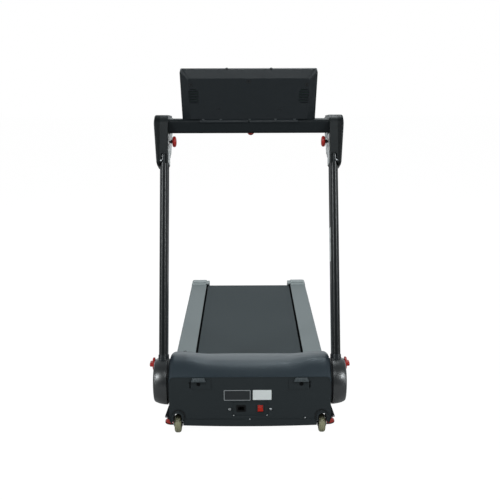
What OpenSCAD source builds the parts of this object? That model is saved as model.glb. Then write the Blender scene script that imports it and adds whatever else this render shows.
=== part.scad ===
// Folding motorised treadmill, in millimetres with +Z up.
// The origin is on the floor under the middle of the machine, and -Y is the motor end.
// Left is -X and right is +X, as the machine is seen from its motor end.

/* [Base] */
// Length of the base from the front panel to the end caps
base_l = 1440; // [1360:10:1600]
// Height of the running surface above the floor
deck_z = 160; // [150:1:190]
// Width of a foot rail
rail_w = 72.5; // [68:0.5:90]

/* [Belt and deck] */
// Width of the running belt
belt_w = 390; // [350:5:450]
// Thickness of the running belt
belt_t = 2; // [1.5:0.5:3]
// Thickness of the deck board
deck_t = 18; // [15:1:20]
// Distance of the deck board's edge from the outer face of a foot rail
deck_inset = 19.5; // [15:0.5:26]
// Diameter of a deck cushion
cushion_d = 22; // [14:1:26]
// Number of deck cushions along each side
cushion_count = 4; // [2:1:8]

/* [Rollers] */
// Outer diameter of the two rollers
roller_d = 43.4; // [36:0.2:46]
// Wall of the roller tube
roller_wall = 4.15; // [3:0.05:6]
// Diameter of the fixed roller shafts
shaft_d = 15; // [10:0.5:18]
// Distance of the rear roller shaft from the rear end
rear_roller_inset = 64; // [60:1:90]
// Distance of the front roller shaft from the front end
front_roller_inset = 280; // [270:1:290]

/* [Frame] */
// Width of a frame tube
frame_w = 30; // [25:1:34]
// Height of a frame tube
frame_h = 60; // [45:1:62]
// Wall of the frame tubes
frame_wall = 2; // [1.5:0.5:4]
// Thickness of the fixed side plates
side_plate_t = 6; // [5:0.5:8]
// Radius of the fixed side plates
side_plate_r = 74; // [70:1:76]

/* [Foot rails] */
// Gap between the belt's edge and a foot rail
rail_gap = 8; // [4:0.5:10]
// Wall of the foot rails
rail_wall = 3; // [2:0.5:4]
// Height of the foot rails above the running surface
rail_rise = 4; // [3:0.5:6]
// Length of the rear end caps
cap_l = 60; // [50:1:75]

/* [Motor] */
// Diameter of the motor
motor_d = 96; // [80:1:104]
// Length of the motor
motor_l = 180; // [140:5:200]
// Diameter of the motor shaft
motor_shaft_d = 15; // [12:0.5:18]
// Diameter of the motor pulley
motor_pulley_d = 36; // [28:1:44]
// Diameter of the front roller's pulley
roller_pulley_d = 76; // [60:1:80]
// Width of the drive belt
drive_belt_w = 13; // [8:1:14]
// Thickness of the drive belt
drive_belt_t = 3; // [2:0.5:4]
// Diameter of the flywheel
flywheel_d = 104; // [80:1:110]

/* [Hood] */
// Length of the hood over the foot rails
hood_lap = 16; // [10:1:30]
// Distance of the hood's side from the outer face of a foot rail
hood_inset = 2; // [1:0.5:4]
// Radius of the hood's long edges
hood_edge = 14; // [8:1:20]
// Wall of the hood and the front panel
hood_wall = 3; // [2:0.5:4]
// Height of the crease between hood and front panel
crease_z = 211; // [206:1:220]
// Height of the front panel's lower edge at its middle
panel_bottom_z = 31; // [26:1:36]

/* [Uprights] */
// Height of the fold pivot
pivot_z = 168; // [162:1:180]
// Distance of the fold pivot from the front end
pivot_inset = 81; // [80:1:100]
// Lean of the uprights from the vertical
lean = 17.9; // [14:0.1:20]
// Length of an upright from its pivot to the crossbar's axis
upright_l = 892; // [840:1:920]
// Width of the flat-oval upright tube
tube_w = 28; // [24:1:32]
// Depth of the flat-oval upright tube
tube_d = 80; // [70:1:84]
// Wall of the upright tube
tube_wall = 2; // [1.5:0.5:3]
// Diameter of the pivot bolts
pivot_d = 16; // [12:0.5:20]
// Diameter of the round pivot covers
cover_d = 160; // [154:1:166]
// Height of the dome on a pivot cover's face
cover_dome = 7; // [4:0.5:12]

/* [Brackets] */
// Radius of a bracket's round crown
crown_r = 38; // [36:0.5:42]
// Length of a bracket below the crossbar's axis
bracket_l = 140; // [130:1:150]
// Thickness of the outer bracket cover at the crown
bracket_dome = 23; // [16:1:28]
// Length of a hand grip
grip_l = 78; // [60:1:84]
// Diameter of a hand grip
grip_d = 32; // [28:1:36]

/* [Crossbar and console] */
// Height of the crossbar's section
bar_h = 50; // [44:1:54]
// Depth of the crossbar's section
bar_d = 54; // [46:1:58]
// Diameter of the journals that the console turns on
journal_d = 30; // [24:0.5:32]
// Lean of the console away from the user
console_lean = 19; // [12:0.5:24]
// Width of the console
console_w = 474; // [440:1:480]
// Narrowing of each side of the console towards its base
console_taper = 4; // [0:0.5:10]
// Height of the console above the crossbar
console_h = 185; // [175:1:200]
// Depth of the console's front shell
fascia_d = 32; // [28:1:38]
// Depth of the bevelled back shell
back_d = 24; // [16:1:26]
// Wall of the console's shells
console_wall = 3; // [2:0.5:4]

/* [Knobs] */
// Diameter of a lower knob's flange
lower_knob_d = 44; // [38:1:48]
// Distance of a lower knob above the fold pivot
lower_knob_up = 57; // [54:1:60]
// Diameter of an upper knob's head
upper_knob_d = 38; // [32:1:42]
// Distance of an upper knob below the crossbar's axis
upper_knob_down = 57; // [54:1:60]
// Diameter of the knobs' threaded studs
stud_d = 8; // [6:0.5:10]

/* [Wheels and feet] */
// Diameter of a transport wheel
wheel_d = 62; // [56:1:64]
// Width of a transport wheel
wheel_w = 23; // [18:1:25]
// Diameter of a wheel's axle
axle_d = 8; // [6:0.5:10]
// Diameter of a side foot
foot_d = 52; // [40:1:54]
// Height of a side foot
foot_h = 14; // [12:1:20]

/* [Hidden] */
$fn = 64;

// Clearances between pieces that move past each other
running_gap = 0.3;
turn_fit = 0.05;
side_gap = 1;

front_y = -base_l / 2;
rear_y = base_l / 2;

// Foot rails
rail_in_x = belt_w / 2 + rail_gap;
rail_out_x = rail_in_x + rail_w;
rail_top_z = deck_z + rail_rise;
rail_bottom_z = 100;

// Frame tubes
frame_inset = 13.5;
cushion_h = 12;
frame_out_x = rail_out_x - frame_inset;
frame_in_x = frame_out_x - frame_w;
frame_mid_x = frame_out_x - frame_w / 2;
frame_top_z = deck_z - belt_t - deck_t - cushion_h;
frame_bottom_z = frame_top_z - frame_h;
frame_y0 = front_y + 30;
frame_y1 = rear_y - 20;
member_h = 30;
member_d = 40;
member_z = frame_bottom_z + 4;
deck_w = 2 * (rail_out_x - deck_inset);

// Rollers and belt
roller_r = roller_d / 2;
belt_in_r = roller_r + running_gap;
roller_z = deck_z - belt_t - belt_in_r;
front_roller_y = front_y + front_roller_inset;
rear_roller_y = rear_y - rear_roller_inset;
roller_l = belt_w + 10;
ear_t = 16;
ear_l = 40;
bearing_w = 12;

// Drive
motor_y = front_y + 160;
motor_z = frame_bottom_z + motor_d / 2 + 9;
motor_x0 = -motor_l / 2 - 10;
pulley_x = -belt_w / 2 - 15;
pulley_r1 = motor_pulley_d / 2;
pulley_r2 = roller_pulley_d / 2;
drive_y1 = front_roller_y + pulley_r2 + running_gap + drive_belt_t;

// Hood
panel_y = front_y + 2;
rail_y0 = drive_y1 + 3;
rail_y1 = rear_y - cap_l;
hood_x = rail_out_x - hood_inset;
hood_end_y = rail_y0 + hood_lap;
hood_side_z = 100;
arch_r = 19;
arch_rim = 6;
wheel_x = frame_mid_x - 1.4;
wheel_y = front_y + wheel_d / 2;

// Uprights
pivot_y = front_y + pivot_inset;
tube_gap = 7.5;
tube_x0 = rail_out_x + tube_gap;
tube_x1 = tube_x0 + tube_w;
tube_x = (tube_x0 + tube_x1) / 2;
side_plate_x1 = tube_x0 - 3;
side_plate_x0 = side_plate_x1 - side_plate_t;
cover_x0 = side_plate_x1 + side_gap;
cover_h = 50;
cover_x1 = cover_x0 + cover_h;
knob_seat = cover_x1 - 4;
bolt_head_d = 26;
groove_w = 12;
groove_t = 4;

// Brackets and crossbar
bar_y = pivot_y + upright_l * sin(lean);
bar_z = pivot_z + upright_l * cos(lean);
sleeve_l = 45;
liner_t = 2;
liner_x0 = tube_x0 - liner_t;
bar_x = tube_x0 - 0.5;
bar_corner = 12;
bar_wall = 2.5;
lock_t = 4;
lock_x = tube_x0 + 17;
lock_r = upper_knob_down + stud_d / 2;
lock_from = -5;
lock_to = 41;
grip_y0 = 150;

// Console, in its own leaning frame with the crossbar's axis as origin
console_z0 = bar_h / 2 - 1;
console_z1 = console_z0 + console_h;
back_y = 6 - back_d;
fascia_y = 6 + fascia_d;
display_w = 230;
display_h = 84;
display_z = console_z0 + 118;
key_w = 30;
key_h = 16;
key_z = console_z0 + 40;
key_places = [for (i = [0 : 3]) (i - 1.5) * 50];
grille_x = 191.6;

// Whole-figure helpers ---------------------------------------------------------------

// A box between two opposite corners
module block(a, b) {
    translate(a) cube(b - a);
}

// A round rod along X
module rod_x(r, x0, x1) {
    translate([x0, 0, 0]) rotate([0, 90, 0]) cylinder(r = r, h = x1 - x0);
}

// A round rod along Y
module rod_y(r, y0, y1) {
    translate([0, y1, 0]) rotate([90, 0, 0]) cylinder(r = r, h = y1 - y0);
}

// An outline drawn in Y and Z, carried along X
module along_x(x0, x1) {
    translate([x0, 0, 0]) rotate([90, 0, 90]) linear_extrude(x1 - x0) children();
}

// An outline drawn in X and Z, carried along Y
module along_y(y0, y1) {
    translate([0, y1, 0]) rotate([90, 0, 0]) linear_extrude(y1 - y0) children();
}

// The child and its mirror image on the other side
module pair() {
    children();
    mirror([1, 0, 0]) children();
}

// The child on the right, or its mirror image on the left
module on_side(side) {
    if (side > 0) children();
    else mirror([1, 0, 0]) children();
}

// A rectangle with round corners, centred
module soft_rect(w, h, r) {
    square([w - 2 * r, h], center = true);
    square([w, h - 2 * r], center = true);
    for (x = [-1, 1], y = [-1, 1]) {
        translate([x * (w / 2 - r), y * (h / 2 - r)]) circle(r);
    }
}

// A centred rectangle with round corners whose sides draw in by t towards the base
module tapered_rect(w, h, r, t) {
    hull() for (s = [-1, 1]) {
        translate([s * (w / 2 - r), h / 2 - r]) circle(r, $fn = 32);
        translate([s * (w / 2 - r - t), r - h / 2]) circle(r, $fn = 32);
    }
}

// A flat oval, w wide and l long
module oval(w, l) {
    square([w, l - w], center = true);
    for (s = [-1, 1]) translate([0, s * (l - w) / 2]) circle(w / 2);
}

// A slice of a disc between two angles, measured from straight down towards +Y
module sector(r, a0, a1) {
    reach = r * 2;
    mid = (a0 + a1) / 2;
    intersection() {
        circle(r);
        polygon([[0, 0], [reach * sin(a0), -reach * cos(a0)],
                 [reach * sin(mid), -reach * cos(mid)], [reach * sin(a1), -reach * cos(a1)]]);
    }
}

// The frame of an upright: the pivot is the origin and Z runs up the tube
module on_upright() {
    translate([0, pivot_y, pivot_z]) rotate([-lean, 0, 0]) children();
}

// The crossbar's axis, level with the floor
module on_bar() {
    translate([0, bar_y, bar_z]) children();
}

// The console's leaning frame on the crossbar's axis
module on_console() {
    on_bar() rotate([console_lean, 0, 0]) children();
}

// Frame --------------------------------------------------------------------------------

// One welded rail of the frame with the two ears that carry the roller shafts
module frame_rail() {
    color("#26292b") difference() {
        union() {
            difference() {
                block([frame_in_x, frame_y0, frame_bottom_z],
                      [frame_out_x, frame_y1, frame_top_z]);
                block([frame_in_x + frame_wall, frame_y0 - 1, frame_bottom_z + frame_wall],
                      [frame_out_x - frame_wall, frame_y1 + 1, frame_top_z - frame_wall]);
            }
            for (y = [front_roller_y, rear_roller_y]) {
                block([frame_mid_x - ear_t / 2, y - ear_l / 2, frame_top_z - 1],
                      [frame_mid_x + ear_t / 2, y + ear_l / 2, roller_z + 15]);
            }
        }
        for (y = [front_roller_y, rear_roller_y]) {
            translate([0, y, roller_z])
                rod_x(shaft_d / 2 + turn_fit, frame_in_x - 1, frame_out_x + 1);
        }
        translate([frame_mid_x, 0, roller_z])
            rod_y(4.2, rear_roller_y, rear_roller_y + ear_l);
    }
}

// A rectangular tube that joins the two rails
module cross_member(y) {
    color("#26292b") translate([0, y, member_z + member_h / 2]) difference() {
        cube([2 * frame_in_x, member_d, member_h], center = true);
        cube([2 * frame_in_x + 2, member_d - 2 * frame_wall, member_h - 2 * frame_wall],
             center = true);
    }
}

// The pressed channel under the motor, open upwards, with a foot plate for the motor
module front_cross_member() {
    t = 4;
    flange_h = 22;
    ahead = 70;
    behind = 110;
    y0 = motor_y - ahead;
    y1 = motor_y + behind;
    color("#26292b") difference() {
        block([-frame_in_x, y0, frame_bottom_z], [frame_in_x, y1, frame_bottom_z + flange_h]);
        block([-frame_in_x - 1, y0 + t, frame_bottom_z + t],
              [frame_in_x + 1, y1 - t, frame_bottom_z + flange_h + 1]);
    }
}

// The fixed plate that an upright turns against, with its groove, spacer and foot web
module side_plate() {
    web_y = pivot_y + 33;
    color("#202325") difference() {
        union() {
            translate([0, pivot_y, pivot_z]) rod_x(side_plate_r, side_plate_x0, side_plate_x1);
            block([side_plate_x0, web_y - 30, foot_h + 4], [side_plate_x1, web_y + 30, pivot_z]);
            block([frame_out_x, pivot_y - 20, frame_bottom_z + 2],
                  [side_plate_x0 + 1, pivot_y + 50, frame_top_z - 2]);
            along_y(web_y - 4, web_y + 4) polygon([
                [side_plate_x1 - 1, foot_h + 4], [side_plate_x1 + 18, foot_h + 4],
                [side_plate_x1 + 18, foot_h + 9], [side_plate_x1 + 5, foot_h + 46],
                [side_plate_x1 - 1, foot_h + 46]
            ]);
            translate([side_plate_x0 - 2, web_y, foot_h]) cylinder(r = 17, h = 4);
        }
        translate([0, pivot_y, pivot_z]) {
            rod_x(pivot_d / 2 + turn_fit, side_plate_x0 - 20, side_plate_x1 + 1);
            clamp_groove();
        }
    }
}

// The arc groove that the tip of a lower clamp screw runs in
module clamp_groove() {
    spare = 8;
    sweep = 77;
    along_x(side_plate_x1 - groove_t, side_plate_x1 + 1) rotate(-lean) {
        difference() {
            rotate(180) sector(lower_knob_up + groove_w / 2, -sweep, spare);
            circle(lower_knob_up - groove_w / 2);
        }
    }
}

// The board under the running belt
module running_deck() {
    top = deck_z - belt_t;
    color("#6b5340")
        block([-deck_w / 2, drive_y1 + 4, top - deck_t],
              [deck_w / 2, rear_roller_y - 36, top]);
}

// The rubber buttons between the deck board and the frame
module deck_cushions() {
    y0 = front_roller_y + 70;
    pitch = cushion_count > 1 ? (rear_roller_y - 80 - y0) / (cushion_count - 1) : 0;
    color("#17181a") pair() for (i = [0 : cushion_count - 1]) {
        translate([frame_mid_x, y0 + i * pitch, frame_top_z])
            cylinder(d = cushion_d, h = deck_z - belt_t - deck_t - frame_top_z);
    }
}

// Rollers and belt ---------------------------------------------------------------------

// The closed path of the running belt, grown outwards by t
module belt_path(t) {
    r = belt_in_r + t;
    translate([front_roller_y, roller_z]) circle(r);
    translate([rear_roller_y, roller_z]) circle(r);
    translate([front_roller_y, roller_z - r]) square([rear_roller_y - front_roller_y, 2 * r]);
}

// The endless running belt
module running_belt() {
    color("#3e4446") along_x(-belt_w / 2, belt_w / 2) difference() {
        belt_path(belt_t);
        belt_path(0);
    }
}

// A turning roller tube
module roller(y) {
    color("#8f9496") translate([0, y, roller_z]) difference() {
        rod_x(roller_r, -roller_l / 2, roller_l / 2);
        rod_x(roller_r - roller_wall, -roller_l / 2 - 1, roller_l / 2 + 1);
    }
}

// The front roller with the pulley pressed on its left end
module front_roller() {
    roller(front_roller_y);
    color("#8f9496") translate([0, front_roller_y, roller_z]) difference() {
        rod_x(pulley_r2, pulley_x - drive_belt_w / 2, -roller_l / 2);
        rod_x(shaft_d / 2 + 3, pulley_x - drive_belt_w / 2 - 1, -roller_l / 2 + 1);
    }
}

// The two fixed shafts, the rear one with its two adjusting bolts
module roller_shafts() {
    color("#b9bdc0") {
        for (y = [front_roller_y, rear_roller_y]) {
            translate([0, y, roller_z]) rod_x(shaft_d / 2, -frame_mid_x - 12, frame_mid_x + 12);
        }
        pair() translate([frame_mid_x, 0, roller_z]) {
            rod_y(4, rear_roller_y + shaft_d / 2 - 1, rear_y - 24);
            rod_y(6.5, rear_y - 30, rear_y - 24);
        }
    }
}

// The ball bearings inside the roller tubes, drawn as closed rings
module roller_bearings() {
    x1 = roller_l / 2 - 3;
    color("#aeb3b6") for (y = [front_roller_y, rear_roller_y]) {
        translate([0, y, roller_z]) pair() difference() {
            rod_x(roller_r - roller_wall - turn_fit, x1 - bearing_w, x1);
            rod_x(shaft_d / 2 + 0.02, x1 - bearing_w - 1, x1 + 1);
        }
    }
}

// Drive --------------------------------------------------------------------------------

// The motor's can with its two end bells and its feet
module motor_body() {
    r = motor_d / 2;
    x0 = motor_x0;
    x1 = x0 + motor_l;
    bell_l = 22;
    foot_w = 24;
    foot_l = 68;
    color("#2b2e31") difference() {
        union() {
            translate([0, motor_y, motor_z]) {
                rod_x(r, x0 + bell_l, x1 - bell_l);
                rod_x(r - 4, x0, x0 + bell_l + 1);
                rod_x(r - 4, x1 - bell_l - 1, x1);
                rod_x(motor_shaft_d / 2 + 6.5, x0 - 6, x0 + 1);
            }
            for (x = [x0 + bell_l + 18, x1 - bell_l - 18]) {
                block([x - foot_w / 2, motor_y - foot_l / 2, frame_bottom_z + 4],
                      [x + foot_w / 2, motor_y + foot_l / 2, motor_z - r * 0.6]);
            }
        }
        translate([0, motor_y, motor_z])
            rod_x(motor_shaft_d / 2 + turn_fit, x0 - 8, x1 - bell_l / 2 - 1);
    }
}

// The turning part of the motor: shaft, flywheel and pulley
module motor_rotor() {
    wheel_x1 = motor_x0 - 34;
    wheel_t = 26;
    rim = 12;
    color("#9da2a5") translate([0, motor_y, motor_z]) {
        rod_x(motor_shaft_d / 2, pulley_x - drive_belt_w / 2 - 2, motor_x0 + motor_l - 14);
        rod_x(pulley_r1, pulley_x - drive_belt_w / 2 - 1, pulley_x + drive_belt_w / 2 + 1);
        difference() {
            rod_x(flywheel_d / 2, wheel_x1 - wheel_t, wheel_x1);
            rod_x(flywheel_d / 2 - rim, wheel_x1 - wheel_t - 1, wheel_x1 - wheel_t + 8);
        }
        rod_x(pulley_r1, wheel_x1 - wheel_t - 1, motor_x0 - 12);
    }
}

// Points on an arc round c, from angle a0 to angle a1
function arc(c, r, a0, a1, n) = [for (i = [0 : n])
    c + r * [cos(a0 + (a1 - a0) * i / n), sin(a0 + (a1 - a0) * i / n)]];

// The closed path around the two pulleys, grown outwards by t
module drive_path(t) {
    r1 = pulley_r1 + running_gap + t;
    r2 = pulley_r2 + running_gap + t;
    c1 = [motor_y, motor_z];
    c2 = [front_roller_y, roller_z];
    dir = atan2(c2[1] - c1[1], c2[0] - c1[0]);
    open = 90 + asin((r2 - r1) / norm(c2 - c1));
    polygon(concat(arc(c1, r1, dir + open, dir + 360 - open, 32),
                   arc(c2, r2, dir - open, dir + open, 40)));
}

// The ribbed drive belt between motor and front roller
module drive_belt() {
    color("#1b1c1e")
        along_x(pulley_x - drive_belt_w / 2 + 0.5, pulley_x + drive_belt_w / 2 - 0.5)
            difference() {
                drive_path(drive_belt_t);
                drive_path(0);
            }
}

// The motor controller: a board on a finned heat sink
module motor_controller() {
    plate_w = 104;
    x0 = frame_in_x - 16 - plate_w;
    plate_l = 120;
    plate_t = 6;
    fins = 9;
    fin_h = 25;
    z0 = frame_bottom_z + 4;
    color("#7e8a80") translate([x0, motor_y - plate_l / 2, z0]) {
        cube([plate_w, plate_l, plate_t]);
        for (i = [0 : fins - 1]) {
            translate([4 + i * 12, 4, plate_t - 1]) cube([3, plate_l * 0.62, fin_h]);
        }
        translate([4, plate_l * 0.72, plate_t - 1]) cube([plate_w - 8, plate_l * 0.24, 21]);
    }
}

// Hood, panel and rails -----------------------------------------------------------------

screw_x = 175;
screw_z = 181;
inlet_x = -30;
rocker_x = 35;
inlet_z = 95;
rocker_w = 18.4;
rocker_h = 22.6;
rocker_tilt = 7;
rocker_pivot_y = panel_y + 12;
plate_y = panel_y + hood_wall;
panel_lip = 25;
wing_l = 34;

// A point on a cubic curve with four control points
function curve(p, t) = pow(1 - t, 3) * p[0] + 3 * t * pow(1 - t, 2) * p[1]
    + 3 * t * t * (1 - t) * p[2] + pow(t, 3) * p[3];

// How far a place on the hood lies over a foot rail: 0 between the rails and 1 over them
function over_rail(x) = let (u = min(1, max(0, (abs(x) - rail_in_x + 10) / 24)))
    u * u * (3 - 2 * u);

// The hood's columns from left to right: each is an edge centre's place across and the
// direction from that centre to the outer skin
hood_half = concat(
    [for (a = [0 : 22.5 : 90]) [hood_edge - hood_x, -cos(a), sin(a)]],
    [for (k = [0 : 6]) [4 * k - rail_in_x - 14, 0, 1]]);
hood_columns = concat(hood_half, [for (i = [len(hood_half) - 1 : -1 : 0])
    [-hood_half[i][0], -hood_half[i][1], hood_half[i][2]]]);

// A point of the hood's arched top, t of the way from the crease to the rear edge
function hood_point(column, t, d) = let (
    w = over_rail(column[0] + hood_edge * column[1]),
    p = curve([[front_y, crease_z], [front_y + 80, crease_z + 27], [front_y + 200, crease_z + 35],
               [hood_end_y + w * wing_l, deck_z + 6 + w * 3]], t))
    [column[0] + (hood_edge - d) * column[1], p[0],
     p[1] - hood_edge + (hood_edge - d) * column[2]];

// One row of the hood from the left skirt over the top to the right skirt
function hood_row(t, d) = let (top = [for (c = hood_columns) hood_point(c, t, d)],
                               last = top[len(top) - 1])
    concat([[top[0][0], top[0][1], hood_side_z]], top, [[last[0], last[1], hood_side_z]]);

// The hood's lofted shell: an outer and an inner skin joined along their four edges
module hood_shell() {
    rows = 21;
    cols = len(hood_columns) + 2;
    skin = rows * cols;
    at = function(i, j, side) side * skin + i * cols + j;
    points = concat([for (i = [0 : rows - 1]) each hood_row(i / (rows - 1), 0)],
                    [for (i = [0 : rows - 1]) each hood_row(i / (rows - 1), hood_wall)]);
    outer = [for (i = [0 : rows - 2], j = [0 : cols - 2])
        each [[at(i, j, 0), at(i + 1, j, 0), at(i + 1, j + 1, 0)],
              [at(i, j, 0), at(i + 1, j + 1, 0), at(i, j + 1, 0)]]];
    inner = [for (f = outer) [f[0] + skin, f[2] + skin, f[1] + skin]];
    ends = [for (j = [0 : cols - 2], i = [0, rows - 1])
        let (a = i == 0 ? j : j + 1, b = i == 0 ? j + 1 : j)
        each [[at(i, a, 0), at(i, b, 0), at(i, b, 1)], [at(i, a, 0), at(i, b, 1), at(i, a, 1)]]];
    sides = [for (i = [0 : rows - 2], j = [0, cols - 1])
        let (a = j == 0 ? i + 1 : i, b = j == 0 ? i : i + 1)
        each [[at(a, j, 0), at(b, j, 0), at(b, j, 1)], [at(a, j, 0), at(b, j, 1), at(a, j, 1)]]];
    polyhedron(points, concat(outer, inner, ends, sides));
}

// The arched cover over the motor, notched for the rails and the pivots' spacers
module hood_cover() {
    color("#3b4046") difference() {
        hood_shell();
        block([-hood_x - 1, front_y - 1, hood_side_z - 1],
              [hood_x + 1, front_y + panel_lip, crease_z - hood_edge - hood_wall]);
        block([-hood_x - 1, rail_y0 - 2, hood_side_z - 1],
              [hood_x + 1, hood_end_y + wing_l + 1, rail_top_z + 0.2]);
        pair() translate([0, pivot_y, pivot_z])
            rod_x(pivot_d / 2 + 5, hood_x - hood_wall - 1, hood_x + 1);
        pair() block([hood_x - hood_wall - 1, pivot_y - 25, hood_side_z - 1],
                     [hood_x + 1, pivot_y + 55, frame_top_z + 2]);
        pair() block([hood_x - hood_wall - 1, pivot_y - pivot_d / 2 - 5, hood_side_z - 1],
                     [hood_x + 1, pivot_y + pivot_d / 2 + 5, pivot_z]);
    }
}

// The front panel's outline, drawn in by d, with its bowed lower edge
module panel_outline(d) {
    x1 = hood_x - d;
    bow = 6;
    corner = 22;
    steps = 24;
    h = 300;
    intersection() {
        translate([0, crease_z - h / 2]) soft_rect(2 * x1, h - 2 * d, hood_edge - d);
        union() {
            polygon(concat(
                [for (i = [0 : steps]) let (x = (x1 - corner) * (2 * i / steps - 1))
                    [x, panel_bottom_z + d + bow * pow(x / hood_x, 2)]],
                [[x1 - corner, crease_z], [corner - x1, crease_z]]));
            for (s = [-1, 1]) {
                translate([s * (x1 - corner), panel_bottom_z + d + bow + corner - 1])
                    circle(corner);
            }
            translate([-x1, panel_bottom_z + d + bow + corner - 1])
                square([2 * x1, crease_z - panel_bottom_z - d - bow - corner + 1]);
        }
    }
}

// The upright front panel with wheel arches, screw pockets and the inlet's opening
module front_panel() {
    pocket_w = 57;
    pocket_h = 24;
    pocket_d = 10;
    arch_z = wheel_d + 2;
    bead_z = panel_bottom_z + 27;
    bead_in = 10;
    color("#232628") difference() {
        union() {
            intersection() {
                union() {
                    along_y(panel_y, plate_y) panel_outline(0);
                    difference() {
                        along_y(panel_y, front_y + panel_lip) panel_outline(0);
                        along_y(panel_y - 1, front_y + panel_lip + 1) panel_outline(hood_wall);
                    }
                }
                union() {
                    block([-hood_x, panel_y, 0],
                          [hood_x, front_y + panel_lip, crease_z - hood_edge - hood_wall]);
                    along_y(panel_y, front_y + panel_lip) panel_outline(hood_wall + 0.05);
                }
            }
            difference() {
                block([-hood_x + bead_in, front_y + 0.5, bead_z],
                      [hood_x - bead_in, panel_y + 1, bead_z + 2]);
                pair() translate([wheel_x, front_y, arch_z]) rotate([-90, 0, 0])
                    cylinder(r = arch_r + arch_rim, h = 5);
            }
            for (s = [-1, 1]) {
                translate([s * wheel_x, front_y + 6, arch_z]) rotate([90, 0, 0])
                    intersection() {
                        cylinder(r = arch_r + arch_rim, h = 6);
                        translate([-arch_r - arch_rim, -8, -1])
                            cube([2 * (arch_r + arch_rim), 40, 8]);
                    }
                block([s * screw_x - pocket_w / 2 - 2, plate_y - 1, screw_z - pocket_h / 2 - 2],
                      [s * screw_x + pocket_w / 2 + 2, panel_y + pocket_d + 2,
                       screw_z + pocket_h / 2 + 2]);
            }
        }
        for (s = [-1, 1]) {
            translate([s * wheel_x, front_y + 30, arch_z]) rotate([90, 0, 0])
                cylinder(r = arch_r, h = 40);
            block([s * wheel_x - arch_r, front_y - 10, 0],
                  [s * wheel_x + arch_r, front_y + 30, arch_z]);
            difference() {
                block([s * screw_x - pocket_w / 2, panel_y - 1, screw_z - pocket_h / 2],
                      [s * screw_x + pocket_w / 2, panel_y + pocket_d, screw_z + pocket_h / 2]);
                for (i = [-2, -1, 1, 2]) {
                    translate([s * screw_x + i * 11 - 1, panel_y + 2, screw_z - pocket_h / 2 - 1])
                        cube([2, pocket_d, pocket_h + 2]);
                }
            }
            translate([s * screw_x, 0, screw_z]) rod_y(4, panel_y, panel_y + pocket_d + 3);
        }
        translate([(inlet_x + rocker_x) / 2 - 1, 0, inlet_z])
            along_y(panel_y - 1, plate_y + 1) soft_rect(123, 50, 4);
    }
}

// The tray that closes the motor bay from below
module motor_pan() {
    x1 = frame_in_x - 4;
    z0 = panel_bottom_z + 9;
    y0 = front_y + 8;
    y1 = front_roller_y + 25;
    color("#1d1f21") difference() {
        block([-x1, y0, z0], [x1, y1, frame_bottom_z]);
        block([-x1 + hood_wall, y0 + hood_wall, z0 + hood_wall],
              [x1 - hood_wall, y1 - hood_wall, frame_bottom_z + 1]);
        for (i = [-4 : 4]) {
            translate([i * 40 - 12, motor_y - 30, z0 - 1]) cube([24, 4, hood_wall + 2]);
            translate([i * 40 - 12, motor_y + 30, z0 - 1]) cube([24, 4, hood_wall + 2]);
        }
    }
}

// One extruded foot rail beside the belt
module foot_rail() {
    r = 8;
    out = rail_out_x;
    w = rail_wall;
    color("#82898b") along_y(rail_y0, rail_y1) {
        difference() {
            union() {
                translate([rail_in_x, deck_z - belt_t])
                    square([out - r - rail_in_x, rail_rise + belt_t]);
                translate([out - r, rail_top_z - r]) circle(r);
                translate([out - w, rail_bottom_z]) square([w, rail_top_z - r - rail_bottom_z]);
            }
            translate([rail_in_x + w, rail_bottom_z])
                square([out - r - rail_in_x - w, rail_top_z - w - rail_bottom_z]);
            translate([out - r, rail_top_z - r]) circle(r - w);
            translate([out - r - 1, rail_bottom_z - 1])
                square([r + 1 - w, rail_top_z - r - rail_bottom_z + 1]);
        }
        translate([frame_out_x, rail_bottom_z]) square([out - w / 2 - frame_out_x, w]);
    }
}

// The outer form of an end cap, drawn in by d: a tall outer part and a low tab by the belt
module cap_form(d) {
    z0 = frame_bottom_z - hood_wall - 1;
    z1 = deck_z + 16;
    tab_z = deck_z + 9;
    x0 = belt_w / 2 - 5;
    x1 = rail_in_x + 2;
    l = cap_l + 40;
    intersection() {
        translate([0, rear_y - l / 2, (z0 + z1) / 2])
            along_x(x0 - 1, rail_out_x + 1) soft_rect(l - 2 * d, z1 - z0 - 2 * d, 16 - d);
        along_y(rear_y - l, rear_y + 1) {
            intersection() {
                translate([(x1 + rail_out_x) / 2 - 10, (z0 + z1) / 2])
                    soft_rect(rail_out_x - x1 + 20 - 2 * d, z1 - z0 - 2 * d, 16 - d);
                translate([x1 + d, z0]) square([rail_out_x, z1]);
            }
            translate([x0 + d, z0 + d]) square([x1 - x0 + 1, tab_z - z0 - 2 * d]);
        }
    }
}

// The two moulded caps on the rear ends of the rails
module end_caps() {
    color("#8c9494") pair() difference() {
        cap_form(0);
        cap_form(hood_wall);
        block([0, 0, 0], [rail_out_x + 1, rail_y1, deck_z + 40]);
        block([0, rail_y1 - 1, 0],
              [belt_w / 2 + 4, rear_roller_y + belt_in_r + belt_t + 3, deck_z + 1]);
        translate([frame_mid_x, 0, roller_z]) rod_y(8, rear_y - 10, rear_y + 1);
    }
}

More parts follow.
